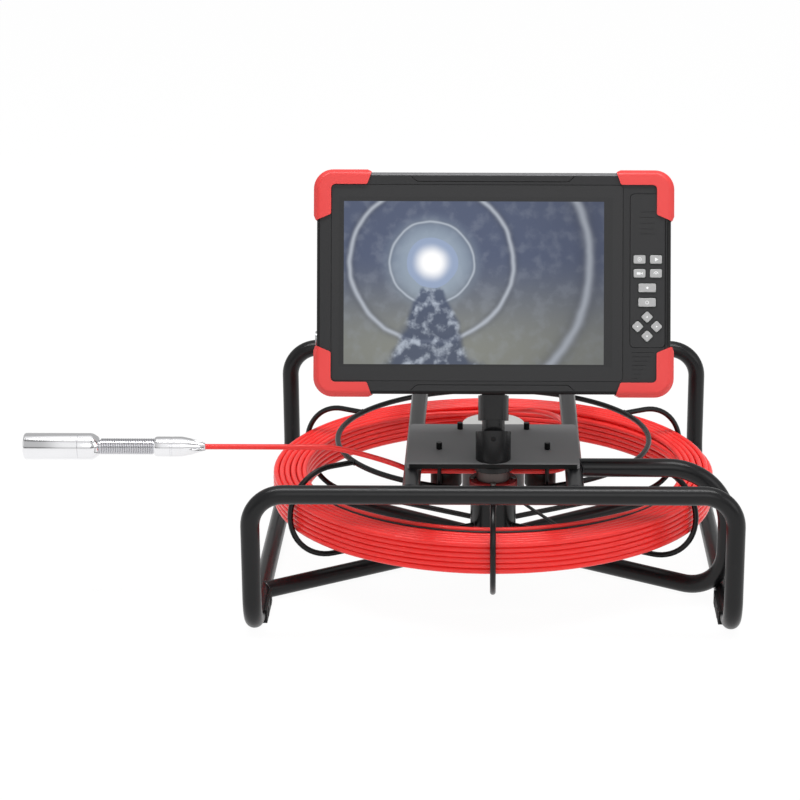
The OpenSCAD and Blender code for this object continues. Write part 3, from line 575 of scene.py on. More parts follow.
# ---- Reel ----
# A black turned hub on two ball bearings, six bent wire ribs welded to a top ring, and the pale slip
# ring housing above the hub. The wire is 5 mm, coated satin black.

def copies_tree():
    """Equal copies of a shape turned about the upright axis."""
    tree = Tree("copies_about_axis", Count="Int", Start="Float")
    step = tree.step("ShaderNodeMath", {0: math.tau, 1: tree.given("Count")}, {"operation": "DIVIDE"})
    index = tree.step("GeometryNodeInputIndex")
    turn = tree.step("ShaderNodeMath", {0: index, 1: step, 2: tree.given("Start")},
                     {"operation": "MULTIPLY_ADD"})
    angles = tree.step("ShaderNodeCombineXYZ", {"Z": turn})
    seats = tree.step("GeometryNodePoints", {"Count": tree.given("Count")})
    spread = tree.step("GeometryNodeInstanceOnPoints",
                       {"Points": seats, "Instance": tree.given("Shape"), "Rotation": angles})
    return tree.close(spread)


copies = copies_tree()
wire_r = 2.5
ring_r = 141.9
ring_z = 107.5
spoke_z = 25.5
rib_bend_x = 165.0
rib_bend_r = (ring_z - spoke_z) / 2
rib_mid_z = (ring_z + spoke_z) / 2
rib_count = 6
rib_start = math.radians(30)
hub_r = 21.0

wire_coat = moulded("satin_black_wire", "0d0d0e", 0.28, grain=1800, depth=0.02 * MM, Specular_IOR_Level=0.3)
bend_steps = 28
rib_bend = [polar(rib_bend_r, math.pi / 2 - math.pi * k / bend_steps, (rib_bend_x, rib_mid_z))
            for k in range(bend_steps + 1)]
rib_run = [(ring_r + 1, 0, ring_z), *[(x, 0, z) for x, z in rib_bend], (hub_r - 1, 0, spoke_z)]
rib_mesh = grow("rib", tube, line_mesh("rib", [rib_run]), wire_coat, Radius=wire_r * MM, Sides=18)
ribs_mesh = grow("ribs", copies, rib_mesh, wire_coat, Count=rib_count, Start=rib_start)
join("reel_ribs", put("reel_ribs", ribs_mesh), "reel", ["cage_ribs"])

ring_steps = 144
ring_run = [(*polar(ring_r, math.tau * k / ring_steps), ring_z) for k in range(ring_steps)]
tubes("reel_ring", [ring_run], wire_r, wire_coat, "reel", ["cage_ring"], sides=18, loop=True)

rib_weld = weld_loop((ring_r, 0, ring_z), (1, 0, 0), wire_r, (0, 1, 0), wire_r, 24)
rib_foot_weld = weld_loop((0, 0, spoke_z), (1, 0, 0), wire_r, (0, 0, 1), hub_r, 24)
wire_weld_r = 0.6
rib_weld_lines = line_mesh("rib_welds", [looped(rib_weld), looped(rib_foot_weld)])
rib_welds = grow("rib_welds", tube, rib_weld_lines, weld_coat, Radius=wire_weld_r * MM, Sides=8)
rib_welds = grow("all_rib_welds", copies, rib_welds, weld_coat, Count=rib_count, Start=rib_start)
join("reel_welds", put("reel_welds", rib_welds), "reel")

hub_black = moulded("hub_black", "0e0e0f", 0.26, grain=1500, depth=0.015 * MM, Specular_IOR_Level=0.35)
# The housing is pale above a set height and painted dark grey below it: painted shade where the plate shades
# its lower part.
shell_shade_top = 99.5
pale_shell = Finish("pale_shell", Specular_IOR_Level=0.3)
shell_above_shade = pale_shell.ease(pale_shell.parts()[2], shell_shade_top * MM, (shell_shade_top + 0.5) * MM)
shell_cloud = pale_shell.noise(22, 3)
shell_painted_shade = pale_shell.mix(shell_cloud, tone("403e3e"), tone("484646"))
shell_high = pale_shell.mix(shell_cloud, tone("bcbcba"), tone("c6c6c4"))
pale_shell.set("Base Color", pale_shell.mix(shell_above_shade, shell_painted_shade, shell_high))
pale_shell.set("Roughness", shell_cloud * 0.1 + 0.38)
pale_shell.bump(pale_shell.noise(1300, 2), 0.015 * MM)
eased("reel_hub", 0.6, hub_black)
eased("slip_ring_housing", 1.2, pale_shell, segments=4)
dress("hub_bearings", steel)


# ---- Cable winding ----
# About 42 m of push cable in one piece: six turns side by side and six layers high, wound from the inner
# bottom turn outwards and back, with a crossover in each turn. The last turn springs up in front. A thin
# rubber lead with a plug joins the slip ring to the winding's inner end.

turns_across = 6
turns_high = 6
turn_pitch = 5.2
layer_pitch = 4.75
coil_inner = 170.1
coil_z = 52.6
winding_points = 96
winding_start = math.radians(-25)
last_steps = 63
last_lift = 3.1
last_tuck = 0.6
exit_r = 166.9
exit_z = 76.2


def seat_of(turn):
    """Radius and height of one turn of the winding, counted from the inner bottom one."""
    layer, place = divmod(turn, turns_across)
    if layer % 2:
        place = turns_across - 1 - place
    return (coil_inner + turn_pitch * (place + 0.5), coil_z + layer_pitch * (layer + 0.5))


def ramp(value, low, high):
    """A smooth step from 0 to 1."""
    share = max(0.0, min(1.0, (value - low) / (high - low)))
    return share * share * (3 - 2 * share)


winding = []
turn_count = turns_across * turns_high
for i in range((turn_count - 1) * winding_points + last_steps + 1):
    turn, step = divmod(i, winding_points)
    share = step / winding_points
    here = seat_of(turn)
    there = seat_of(min(turn + 1, turn_count - 1))
    cross = ramp(share, 0.8, 1.0)
    angle = winding_start - math.tau * share
    slack = 0.14 * math.sin(3 * angle + turn * 1.7) + 0.05 * math.sin(11 * angle + turn * 2.9)
    lift = 0.08 * math.sin(4 * angle + turn * 2.3)
    r = here[0] + (there[0] - here[0]) * cross + slack
    z = here[1] + (there[1] - here[1]) * cross + lift
    if turn == turn_count - 1:
        sprung = ramp(share, 0.02, 0.11) * ramp(share, 0.37, 0.26)
        leaving = max(0.0, (share - 0.5) / (last_steps / winding_points - 0.5)) ** 2
        r += (exit_r - here[0] - slack) * leaving - last_tuck * sprung
        z += (exit_z - here[1] - lift) * leaving + last_lift * sprung
    winding.append((*polar(r, angle), z))
tubes("cable_winding", [winding], cable_d / 2, jacket, "reel", ["cable_coil"], sides=12)

lead_route = [(20, -7, 50), (26, -10, 48), (38, -20, 43), (54, -36, 38), (70, -56, 34), (88, -76, 33),
              (106, -94, 36), (122, -104, 42), (134, -102, 51), (140, -94, 58), (143.6, -85.4, 60)]
lead_path = flowing([Vector(p) for p in lead_route], 4)
lead_d = 3.0
lead_rubber = moulded("lead_rubber", "121212", 0.46, grain=1500, depth=0.02 * MM)
plug_d = 6.0
plug_l = 16.0
plug_from = Vector(lead_route[-1])
plug_run = [plug_from, plug_from + heading(62) * plug_l]

# A thin dark tube lies in the valley between the two innermost upper turns and keeps the valley dark.
slot_r = 176.0
slot_z = 79.8
slot_rise = 1.5
slot_tube_r = 1.1
slot_steps = 60
slot_run = []
for k in range(slot_steps + 1):
    share = k / slot_steps
    height = slot_z + slot_rise * math.sin(math.pi * share) ** 0.5
    slot_run.append((*polar(slot_r, math.radians(-33 - 119 * share)), height))
tubes("slot_dark_tube", [slot_run], slot_tube_r, lead_rubber, "reel", sides=10)
tubes("lead_wire", [lead_path], lead_d / 2, lead_rubber, "reel", ["signal_lead"], sides=14)
tubes("lead_plug", [plug_run], plug_d / 2, dark_steel, "reel", sides=24)


# ---- Plate and cable guide ----
# A flat 4 mm steel plate lies across the top bars. Its top is painted grey and its front edge near black:
# painted light, the lit top against the shaded front. Four black bolts go through it; below they carry two
# straps with the grooved nylon guide rollers, and the front ones reach down as pins that keep the cable in.

# One coat in two colours: the top is painted lighter and the front edge darker, as painted light.
shaded_front_to = -168.7
plate_coat = Finish("plate_coat", Specular_IOR_Level=0.2)
plate_lit_top = plate_coat.ease(plate_coat.parts()[1], shaded_front_to * MM, (shaded_front_to + 0.2) * MM)
plate_cloud = plate_coat.noise(18, 4)
plate_skin = plate_coat.noise(2200, 2)
plate_lit_grey = plate_coat.mix(plate_cloud, tone("7b7b7c"), tone("828283"))
plate_coat.set("Base Color", plate_coat.mix(plate_lit_top, tone("161616"), plate_lit_grey))
plate_coat.set("Roughness", plate_cloud * 0.08 + plate_skin * 0.06 + 0.55)
plate_coat.bump(plate_skin, 0.03 * MM)
stud_black = moulded("black_oxide", "0b0b0c", 0.34, grain=1600, depth=0.02 * MM, Specular_IOR_Level=0.25)
strap_black = moulded("strap_coat", "141415", 0.42, grain=1800, depth=0.03 * MM, Specular_IOR_Level=0.25)

# The nylon is olive on the upper lip, between the groove and the top edge.
lip_fades = (118.5, 121.5)
lip_ends = (122.9, 123.6)
roller_nylon = Finish("roller_nylon", Specular_IOR_Level=0.3)
roller_height = roller_nylon.parts()[2]
above_groove = roller_nylon.ease(roller_height, lip_fades[0] * MM, lip_fades[1] * MM)
below_top = roller_nylon.ease(roller_height, lip_ends[0] * MM, lip_ends[1] * MM, 1.0, 0.0)
roller_cloud = roller_nylon.noise(60, 3)
roller_dark = roller_nylon.mix(roller_cloud, tone("0c0b09"), tone("16130d"))
roller_nylon.set("Base Color", roller_nylon.mix(above_groove * below_top, roller_dark, tone("8a7a10")))
roller_nylon.set("Roughness", roller_cloud * 0.1 + 0.32)
roller_nylon.bump(roller_nylon.noise(1400, 2), 0.02 * MM)
eased("top_plate", 0.5, plate_coat)
eased("guide_bolts", 0.35, stud_black)
eased("roller_brackets", 0.4, strap_black)
eased("guide_roller_left", 0.7, roller_nylon)
eased("guide_roller_right", 0.7, roller_nylon)


# ---- Monitor post ----
# A turned black socket screwed through the plate with its lock nut, a grey-brown sleeve and a glossy dark
# red flange below, and the swivel shaft with the collar that carries the monitor's hinge.

post_black = moulded("post_anodised", "1e1e1f", 0.26, grain=2000, depth=0.012 * MM, Specular_IOR_Level=0.3)
sleeve_metal = metal("grey_brown_metal", "5e5654", 0.45)
screw_steel = metal("screw_steel", "77706e", 0.42)
flange_red = moulded("dark_red_gloss", "7a1012", 0.3, grain=1200, depth=0.01 * MM)
post_y = -152.8
ring_slope = math.tan(math.radians(20.9))
case_slope = math.tan(math.radians(17.8))
edge_slack = 0.05


def slanted(piece, level, gain, rise=ring_slope, reach=99.0):
    """Tips a level edge of a piece on the post, so that it is seen edge on from in front."""
    for vertex in piece.data.vertices:
        behind = vertex.co.y / MM - post_y
        if abs(vertex.co.z / MM - level) < edge_slack and math.hypot(vertex.co.x / MM, behind) < reach:
            vertex.co.z += (gain - rise * behind) * MM


socket_top = 167.2
socket_drop = 3.4
collar_bottom = 173.5
collar_lift = 0.3
collar_top = 198.0
collar_drop = 1.5
shaft_end = collar_bottom + 5
shaft_seat_r = 9.9
slanted(eased("post_socket", 0.4, post_black), socket_top, -socket_drop)
slanted(eased("swivel_shaft", 0.3, post_black), shaft_end, collar_lift)
collar = eased("upper_collar", 0.4, post_black)
slanted(collar, collar_bottom, collar_lift)
slanted(collar, shaft_end, collar_lift, reach=shaft_seat_r)
slanted(collar, collar_top, -collar_drop, case_slope)

nut_r = 17.4
nut_bottom = 131.5
nut_top = 135.88
sleeve_r = 14.6
sleeve_bottom = 121.95
ring_gap = 0.02


def loft(rings, closed=False):
    """A skin over rings of equally many points, in millimetres; open ends are capped unless closed."""
    shape = bmesh.new()
    rows = [[shape.verts.new(Vector(p) * MM) for p in ring] for ring in rings]
    pairs = list(zip(rows, rows[1:]))
    if closed:
        pairs.append((rows[-1], rows[0]))
    for low, high in pairs:
        for k in range(len(low)):
            after = (k + 1) % len(low)
            shape.faces.new((low[k], low[after], high[after], high[k]))
    if not closed:
        shape.faces.new(rows[0])
        shape.faces.new(rows[-1])
    bmesh.ops.recalc_face_normals(shape, faces=shape.faces)
    mesh = kept(shape, "loft")
    mesh.set_sharp_from_angle(angle=math.radians(30))
    return mesh


def disc(d, at=(0, 0), steps=28):
    return [polar(d / 2, math.tau * k / steps, at) for k in range(steps)]


def finished(name, mesh, finish, body, nodes=(), move=None, edge=0, segments=2):
    """A mesh as a finished piece: moved to its place, edges rounded, dressed and fixed to its body."""
    if move:
        mesh.transform(move)
    mesh.materials.clear()
    mesh.materials.append(finish.material)
    piece = put(name, mesh)
    if edge:
        round_edges(piece, edge, segments)
    return join(name, piece, body, nodes)


def ring_piece(name, node, finish, radius, low, high, bore=12.6, edge=0.4):
    """A turned ring on the post, with a small chamfer at its lower end."""
    rings = []
    for r, z in ((bore, low), (radius - edge, low), (radius, low + edge), (radius, high), (bore, high)):
        rings.append([(x, y, z) for x, y in disc(2 * r, (0, post_y), 72)])
    return finished(name, loft(rings, closed=True), finish, "base", [node])


ring_piece("plate_lock_nut", "lock_nut", post_black, nut_r, nut_bottom, nut_top)
ring_piece("turned_sleeve", "swivel_sleeve", sleeve_metal, sleeve_r, sleeve_bottom,
           nut_bottom - ring_gap)
eased("swivel_flange", 0.5, flange_red)
post_screws = eased("post_screws", 0.2, screw_steel)
post_screws.data.materials.append(stud_black.material)
above_plate = 150 * MM
for face in post_screws.data.polygons:
    face.material_index = int(face.center.z > above_plate)


# ---- Monitor case ----
# Two shells of dark grey textured ABS, parted 11 mm behind the front. The front holds the glass and the
# keypad strip and has fine grooves; the back has six vent slots with a gauze inside.

face_y = -149.1
face_z = 293.0
lean = math.radians(-17.8)
on_face = Matrix.Translation((0, face_y * MM, face_z * MM)) @ Matrix.Rotation(lean, 4, "X")
upright = Matrix.Rotation(math.pi / 2, 4, "X")
case_w = 295.6
case_h = 185.0
case_r = 13.5
case_front = 1.5
case_back = 34.5
case_split = 12.5
case_edge = 2.6


def rounded(w, h, r, at=(0, 0), steps=6):
    """Outline of a rectangle with round corners."""
    points = []
    for quarter, (sx, sy) in enumerate(((1, 1), (-1, 1), (-1, -1), (1, -1))):
        middle = (at[0] + sx * (w / 2 - r), at[1] + sy * (h / 2 - r))
        points += [polar(r, math.pi / 2 * (quarter + k / steps), middle) for k in range(steps + 1)]
    return points


def case_ring(inset, depth, w=case_w, h=case_h, r=case_r):
    return [(x, depth, z) for x, z in rounded(w - 2 * inset, h - 2 * inset, r - inset, steps=10)]


def place_from(made, origin, turn=(0, 0, 0)):
    """Where a point is, in millimetres from an origin and in turned axes."""
    inputs = {"Vector": made.place(), "Location": [v * MM for v in origin], "Rotation": turn,
              "Scale": (MM, MM, MM)}
    return made.node("Mapping", inputs, {"vector_type": "TEXTURE"})


def on_face_place(made):
    """Where a point is in the monitor's own axes: the place, across and up."""
    place = place_from(made, (0, face_y, face_z), (lean, 0, 0))
    across, _, up = made.parts(place)
    return place, across, up


def within(made, value, middle, half, soft=0.15):
    """1 inside a band round a middle, 0 outside."""
    off = (value - middle).math("ABSOLUTE")
    return made.ease(off, half - soft, half + soft, 1.0, 0.0)


# The face is near black from a line at the right, apart from one pale stripe.
dark_from = 142.0
stripe_x = 144.2
case_plastic = Finish("case_plastic", Specular_IOR_Level=0.25)
case_across = on_face_place(case_plastic)[1]
case_cloud = case_plastic.noise(22, 3)
case_skin = case_plastic.noise(1500, 2)
case_grey = case_plastic.mix(case_cloud, tone("29292a"), tone("2e2e2f"))
case_stripe = within(case_plastic, case_across, stripe_x, 0.7, 0.3)
case_dark = case_plastic.ease(case_across, dark_from, dark_from + 0.6) * (1 - case_stripe * 0.8)
case_plastic.set("Base Color", case_plastic.mix(case_dark, case_grey, tone("0c0c0c")))
case_plastic.set("Roughness", case_cloud * 0.08 + case_skin * 0.06 + 0.43)
case_plastic.bump(case_skin, 0.035 * MM)

# The rim is painted pale along its upper edge: a painted highlight where the top light falls on it.
rim_highlight_from = 85.0
rim_plastic = Finish("case_rim", Specular_IOR_Level=0.25)
rim_up = on_face_place(rim_plastic)[2]
rim_cloud = rim_plastic.noise(30, 3)
rim_dark = rim_plastic.mix(rim_cloud, tone("0d0d0d"), tone("151516"))
rim_painted_highlight = rim_plastic.ease(rim_up, rim_highlight_from, rim_highlight_from + 3)
rim_plastic.set("Base Color", rim_plastic.mix(rim_painted_highlight, rim_dark, tone("707072")))
rim_plastic.set("Roughness", rim_cloud * 0.1 + 0.42)
rim_plastic.bump(rim_plastic.noise(1500, 2), 0.03 * MM)

glass_size = (243.4, 163.8)
glass_at = (-14.0, 0.3)
screen_size = (217.0, 136.0)
screen_at = (-16.7, 0.3)
keypad_size = (29.0, 127.9)
keypad_at = (128.3, 10.9)
key_dx = 6.85
small_key = (10.0, 7.1)
wide_key = (14.6, 7.25)
arrow_key = 7.3
key_places = {
    "key_photo": (keypad_at[0] - key_dx, 20.3), "key_play": (keypad_at[0] + key_dx, 20.3),
    "key_video": (keypad_at[0] - key_dx, 8.7), "key_menu": (keypad_at[0] + key_dx, 8.7),
    "key_record": (keypad_at[0] - 0.3, -3.4), "key_power": (keypad_at[0] - 0.5, -15.5),
    "key_up": (keypad_at[0] - 0.4, -27.7), "key_left": (keypad_at[0] - 8.3, -35.7),
    "key_right": (keypad_at[0] + 7.5, -35.7), "key_down": (keypad_at[0] - 0.4, -43.7)}


def key_outline(name, grow_by=0.0):
    place = key_places[name]
    if name in ("key_up", "key_left", "key_right", "key_down"):
        side = arrow_key + 2 * grow_by
        corners = rounded(side, side, 1.3, steps=4)
        turn = math.radians(45)
        return [(place[0] + x * math.cos(turn) - y * math.sin(turn),
                 place[1] + x * math.sin(turn) + y * math.cos(turn)) for x, y in corners]
    w, h = wide_key if name in ("key_record", "key_power") else small_key
    return rounded(w + 2 * grow_by, h + 2 * grow_by, 1.2, place, 4)


def slit(x0, x1, z, width):
    return [(x0, z - width / 2), (x1, z - width / 2), (x1, z + width / 2), (x0, z + width / 2)]


tab_x = (-69.5, 67.5)
tab_z = 84.6
tab_slant = 5.0
tab_end_z = tab_z + tab_slant
tab_bend_r = 5


def tab_groove(side, width=0.45):
    """The fine groove round the grip tab on the case's upper or lower edge."""
    left, right = tab_x
    inner_slant = tab_slant + 0.1
    end_step = 1.4 * width
    outer = [(left, tab_end_z), (left + tab_slant, tab_z), (right - tab_slant, tab_z), (right, tab_end_z)]
    inner = [(left + end_step, tab_end_z), (left + inner_slant, tab_z + width),
             (right - inner_slant, tab_z + width), (right - end_step, tab_end_z)]
    lines = [bent([(x, z, 0) for x, z in line], tab_bend_r, 5) for line in (outer, inner)]
    return [(p.x, side * p.y) for p in lines[0] + lines[1][::-1]]


def cut_sheet(outline, holes, low, high):
    """A flat sheet in XY with holes, between two heights, in millimetres."""
    loops = [[Vector((x, y, 0)) for x, y in loop] for loop in (outline, *holes)]
    flat = [p for loop in loops for p in loop]
    shape = bmesh.new()
    rows = [[shape.verts.new((p.x * MM, p.y * MM, z * MM)) for p in flat] for z in (low, high)]
    for a, b, c in geometry.tessellate_polygon(loops):
        for row in rows:
            shape.faces.new((row[a], row[b], row[c]))
    first = 0
    for loop in loops:
        for k in range(len(loop)):
            a, b = first + k, first + (k + 1) % len(loop)
            shape.faces.new((rows[0][a], rows[0][b], rows[1][b], rows[1][a]))
        first += len(loop)
    bmesh.ops.recalc_face_normals(shape, faces=shape.faces)
    merge_faces(shape)
    return kept(shape, "sheet")


def on_monitor(low_depth, high_depth, outline, holes=()):
    """A sheet in the monitor's face, between two depths behind its front; on_case stands it up."""
    return cut_sheet(outline, holes, -high_depth, -low_depth)


def on_case(name, sheet, finish, edge=0, nodes=(), body="monitor", segments=2):
    return finished(name, sheet, finish, body, nodes, on_face @ upright, edge, segments)


def case_wall(name, profile, finish, node):
    """A shell's side wall, from pairs of inset and depth round its section."""
    wall = loft([case_ring(inset, depth) for inset, depth in profile], closed=True)
    return finished(name, wall, finish, "monitor", [node], on_face)


face_t = 1.6
wall_t = 2.5
glass_gap = 0.3
keypad_gap = 0.8
lower_slits = [slit(115.6, 134.0 - 2.3 * k, -57.3 - 3.6 * k, 0.2) for k in range(7)]
side_slits = [[(x - 0.15, -51), (x + 0.15, -51), (x + 0.15, 51), (x - 0.15, 51)] for x in (142.4, 144.6)]
face_outline = rounded(case_w - 2 * case_edge, case_h - 2 * case_edge, case_r - case_edge, steps=10)
face_holes = [rounded(glass_size[0] + glass_gap, glass_size[1] + glass_gap, 3.2, glass_at),
              rounded(keypad_size[0] + keypad_gap, keypad_size[1] + keypad_gap, 3.8, keypad_at),
              *lower_slits, *side_slits, tab_groove(1), tab_groove(-1)]
face_layer = on_monitor(case_front, case_front + face_t, face_outline, face_holes)
on_case("case_face", face_layer, case_plastic, 0.12)
ledge_holes = [rounded(*screen_size, 1, screen_at), *[key_outline(k, 1.1) for k in key_places]]
ledge = on_monitor(case_front + 1.8, case_front + 3, rounded(case_w - 7, case_h - 7, 10), ledge_holes)
on_case("case_ledge", ledge, case_plastic)
case_wall("case_front_wall",
          [(case_edge, case_front), (case_edge - 0.5, case_front + 0.15), (0.25, case_front + 2.1),
           (0, case_front + 2.8), (0, case_split - 0.3), (0.5, case_split), (wall_t, case_split),
           (wall_t, case_front + 1.7), (case_edge, case_front + 1.65)], rim_plastic, "monitor_front")

back_vents = [slit(-60, 60, 58 - 5 * k, 2) for k in range(6)]
back_outline = rounded(case_w - 6, case_h - 6, case_r - 3, steps=10)
back_face = on_monitor(case_back - wall_t, case_back, back_outline, back_vents)
on_case("back_face", back_face, case_plastic, 0.3)
case_wall("case_back_wall",
          [(0.5, case_split), (0, case_split + 0.3), (0, case_back - 3), (0.25, case_back - 1.9),
           (0.9, case_back - 0.8), (2, case_back - 0.15), (3, case_back), (3.1, case_back - 2.4),
           (wall_t, case_back - 2.6), (wall_t, case_split)], case_plastic, "monitor_back")
vent_dark = moulded("vent_mesh", "0c0c0c", 0.7, grain=600, depth=0.2 * MM)
vent_mesh = on_monitor(case_back - 2.9, case_back - 2.6, rounded(130, 34, 2, (0, 45.5)))
on_case("vent_gauze", vent_mesh, vent_dark)


# ---- Screen ----
# A sheet of cover glass with a printed dark border. The picture behind it is a generic smooth drain seen
# from inside: a few wide joints, water along the bottom and a small bright opening at the upper left.

border_at = (-15.2, 1.05)
border_half = (114.2, 70.9)
opening_at = (-52.0, 17.0)
opening_r = 21.0
joint_r = 22.0
joint_pace = 9.5
joint_from = 3.4
screen_glass = Finish("screen_glass", Specular_IOR_Level=0.2, Emission_Strength=1.0)
glass_place, across, height = on_face_place(screen_glass)
picture_mask = (within(screen_glass, across, screen_at[0], screen_size[0] / 2)
                * within(screen_glass, height, screen_at[1], screen_size[1] / 2))
border_mask = (within(screen_glass, across, border_at[0], border_half[0], 0.3)
               * within(screen_glass, height, border_at[1], border_half[1], 0.3))
u = across - opening_at[0]
v = height - opening_at[1]
wander = screen_glass.noise(0.035, 2, glass_place) - 0.5
distance = (u * u + v * v * 1.06).math("SQRT") + wander * 5
# Each joint shows wider than the one beyond it, by the same factor every time.
joint_turn = (distance * (1 / joint_r)).math("LOGARITHM", math.e) * joint_pace + joint_from
joint = joint_turn.math("SINE") * 0.5 + 0.5
crest = joint.math("POWER", 60.0)
seam_dark = joint.math("POWER", 14.0)
floor_light = screen_glass.ease(v, -80, 10, 1.0, 0.0)
stain = screen_glass.ease(screen_glass.noise(0.09, 5, glass_place), 0.45, 0.7)
wall_colour = screen_glass.mix(floor_light, tone("4c566f"), tone("85877f"))
wall_colour = screen_glass.mix(stain * 0.16, wall_colour, tone("a3aab6"))
wall_colour = screen_glass.mix(seam_dark * 0.5, wall_colour, tone("232838"))
wall_colour = screen_glass.mix(crest * 0.7, wall_colour, tone("c4cbd6"))
throat = screen_glass.ease(distance, opening_r, 46, 1.0, 0.0)
wall_colour = screen_glass.mix(throat * 0.6, wall_colour, tone("a9b9c8"))
spread = (u / v).math("ABSOLUTE") + wander * 0.5
stream = screen_glass.ease(spread, 0.34, 0.52, 1.0, 0.0) * screen_glass.ease(v, -24, -18, 1.0, 0.0)
glint = screen_glass.ease(screen_glass.noise(0.11, 3, glass_place), 0.46, 0.72)
water = screen_glass.mix(glint * 0.75, tone("3c4862"), tone("c9d3e2"))
wall_colour = screen_glass.mix(stream * 0.85, wall_colour, water)
hole_mask = screen_glass.ease(distance, opening_r, opening_r + 1, 1.0, 0.0)
hole_colour = screen_glass.mix(screen_glass.ease(distance, 6, 18), tone("ffffff"), tone("93a3bf"))
picture = screen_glass.mix(hole_mask, wall_colour, hole_colour)
shaded = screen_glass.mix(screen_glass.ease(distance, 40, 190, 1.0, 0.55), tone("1c2030"), picture)
border = screen_glass.mix(border_mask, tone("2d2d2e"), tone("2a2a2b"))
speckle = screen_glass.noise(900, 2)
screen_glass.set("Base Color", screen_glass.mix(picture_mask, border, tone("101014")))
screen_glass.set("Emission Color", screen_glass.mix(picture_mask, tone("000000"), shaded))
screen_glass.set("Roughness", speckle * 0.06 + 0.3)
glass_sheet = on_monitor(case_front + 0.2, case_front + 1.8, rounded(*glass_size, 3, glass_at))
on_case("cover_glass", glass_sheet, screen_glass, 0.3, ["screen_glass"])

# The parts inside the case, behind the glass.
board_green = moulded("circuit_board", "14502a", 0.4, grain=500, depth=0.1 * MM)
battery_wrap = moulded("battery_wrap", "2b3a5c", 0.35, grain=1200, depth=0.02 * MM)
panel_grey = moulded("panel_frame", "50586a", 0.4, grain=1200, depth=0.02 * MM)
dress("lcd_panel", panel_grey)
dress("main_board", board_green)
dress("battery_pack", battery_wrap)


# ---- Keypad ----
# A strip let in flush beside the glass, with five fine slits and ten moulded silicone keys. Each key has
# its sign printed in white.

keypad_plastic = moulded("keypad_plastic", "2d2d2e", 0.46, grain=1700, depth=0.03 * MM, uneven=0.05,
                         Specular_IOR_Level=0.25)
keypad_slits = [slit(121.5, 134.0, z, 0.2) for z in (59.9, 55.4, 50.6, 45.8, 41.6)]
keypad_holes = [*[key_outline(k, 0.45) for k in key_places], *keypad_slits]
keypad_sheet = on_monitor(case_front + 0.02, case_front + face_t, rounded(*keypad_size, 3.5, keypad_at),
                          keypad_holes)
on_case("keypad_strip", keypad_sheet, keypad_plastic, 0.12, ["keypad_panel"])

key_grey = moulded("key_silicone", "b0b0b0", 0.5, grain=1800, depth=0.015 * MM, uneven=0.03,
                   Specular_IOR_Level=0.2)
sign_white = moulded("sign_print", "f4f4f4", 0.5, grain=2200, depth=0.008 * MM, uneven=0.02)


def arrow(at, size, turn):
    return [polar(size, math.radians(corner + turn), at) for corner in (0, 120, 240)]


def bar(at, w, h):
    return rounded(w, h, min(w, h) * 0.2, at, 2)


def arc_band(at, r, width, start, end, steps=12):
    """Part of a ring, as an outline."""
    angles = [math.radians(start + (end - start) * k / steps) for k in range(steps + 1)]
    outer = [polar(r + width / 2, a, at) for a in angles]
    inner = [polar(r - width / 2, a, at) for a in angles]
    return outer + inner[::-1]


def signs_of(name):
    x, z = key_places[name]
    arrows = {"key_up": 90, "key_down": 270, "key_left": 180, "key_right": 0}
    if name in arrows:
        return [arrow((x, z), 1.0, arrows[name])]
    return {
        "key_photo": [arc_band((x, z), 1.5, 0.4, 0, 359, 24), bar((x, z), 0.9, 0.9)],
        "key_play": [arrow((x + 0.1, z), 2.0, 0)],
        "key_video": [bar((x - 0.7, z - 0.1), 3.4, 2.0), arrow((x + 2.1, z - 0.1), 1.2, 180)],
        "key_menu": [arc_band((x, z - 0.4), 1.7, 0.6, 0, 180), bar((x, z - 0.3), 1.4, 0.8)],
        "key_record": [disc(2.0, (x, z), 20)],
        "key_power": [arc_band((x, z - 0.1), 1.3, 0.4, 125, 415, 16), bar((x, z + 0.9), 0.4, 1.6)],
    }[name]


key_front = case_front - 1
key_back = case_front + 1.9
print_t = 0.04
for name in key_places:
    cap = on_monitor(key_front, key_back, key_outline(name))
    on_case(name + "_cap", cap, key_grey, 0.5, [name], name, 3)
    signs = bmesh.new()
    for outline in signs_of(name):
        signs.from_mesh(on_monitor(key_front - print_t, key_front + 0.2, outline))
    sign_mesh = kept(signs, name + "_sign")
    sign_mesh.shade_flat()
    on_case(name + "_sign", sign_mesh, sign_white, body=name)


# ---- Corner bumpers ----
# Four moulded red rubber corners with a broad chamfer round the outside. Each is pushed over both shells
# of the case and shows as an L from in front.

bumper_w = 301.2
bumper_h = 190.0
bumper_depth = 36.0
bumper_r = 16.3
bumper_chamfer = 4.6


def cut_with(mesh, tool_mesh, operation):
    """One closed shape cut or trimmed by another."""
    work = put("work", mesh)
    tool = put("tool", tool_mesh)
    boolean = work.modifiers.new("cut", "BOOLEAN")
    boolean.operation = operation
    boolean.object = tool
    boolean.solver = "EXACT"
    made = plain(work)
    bpy.data.objects.remove(work)
    bpy.data.objects.remove(tool)
    return made


def corner_outline():
    """L outline of the upper right corner, in the monitor's face, a little past the case's edges."""
    x1, z1 = bumper_w / 2, bumper_h / 2
    inner_x, inner_z = x1 - 14.7, z1 - 12.5
    path = [(x1 + 1, z1 + 1), (x1 - 44.4, z1 + 1), (x1 - 45, z1), (x1 - 48.4, z1 - 1.8), (x1 - 48, z1 - 3.4),
            (x1 - 44.7, inner_z), (inner_x, inner_z), (inner_x, z1 - 37.4), (x1 - 3.2, z1 - 42.3),
            (x1 - 1.6, z1 - 42.4), (x1, z1 - 38.6), (x1 + 1, z1 - 38.2)]
    radii = [0.3, 0.5, 0.6, 0.6, 1.8, 3.6, 1.8, 0.6, 0.6, 0.5]
    return [(p.x, p.y) for p in bent([(x, z, 0) for x, z in path], radii, 4)]


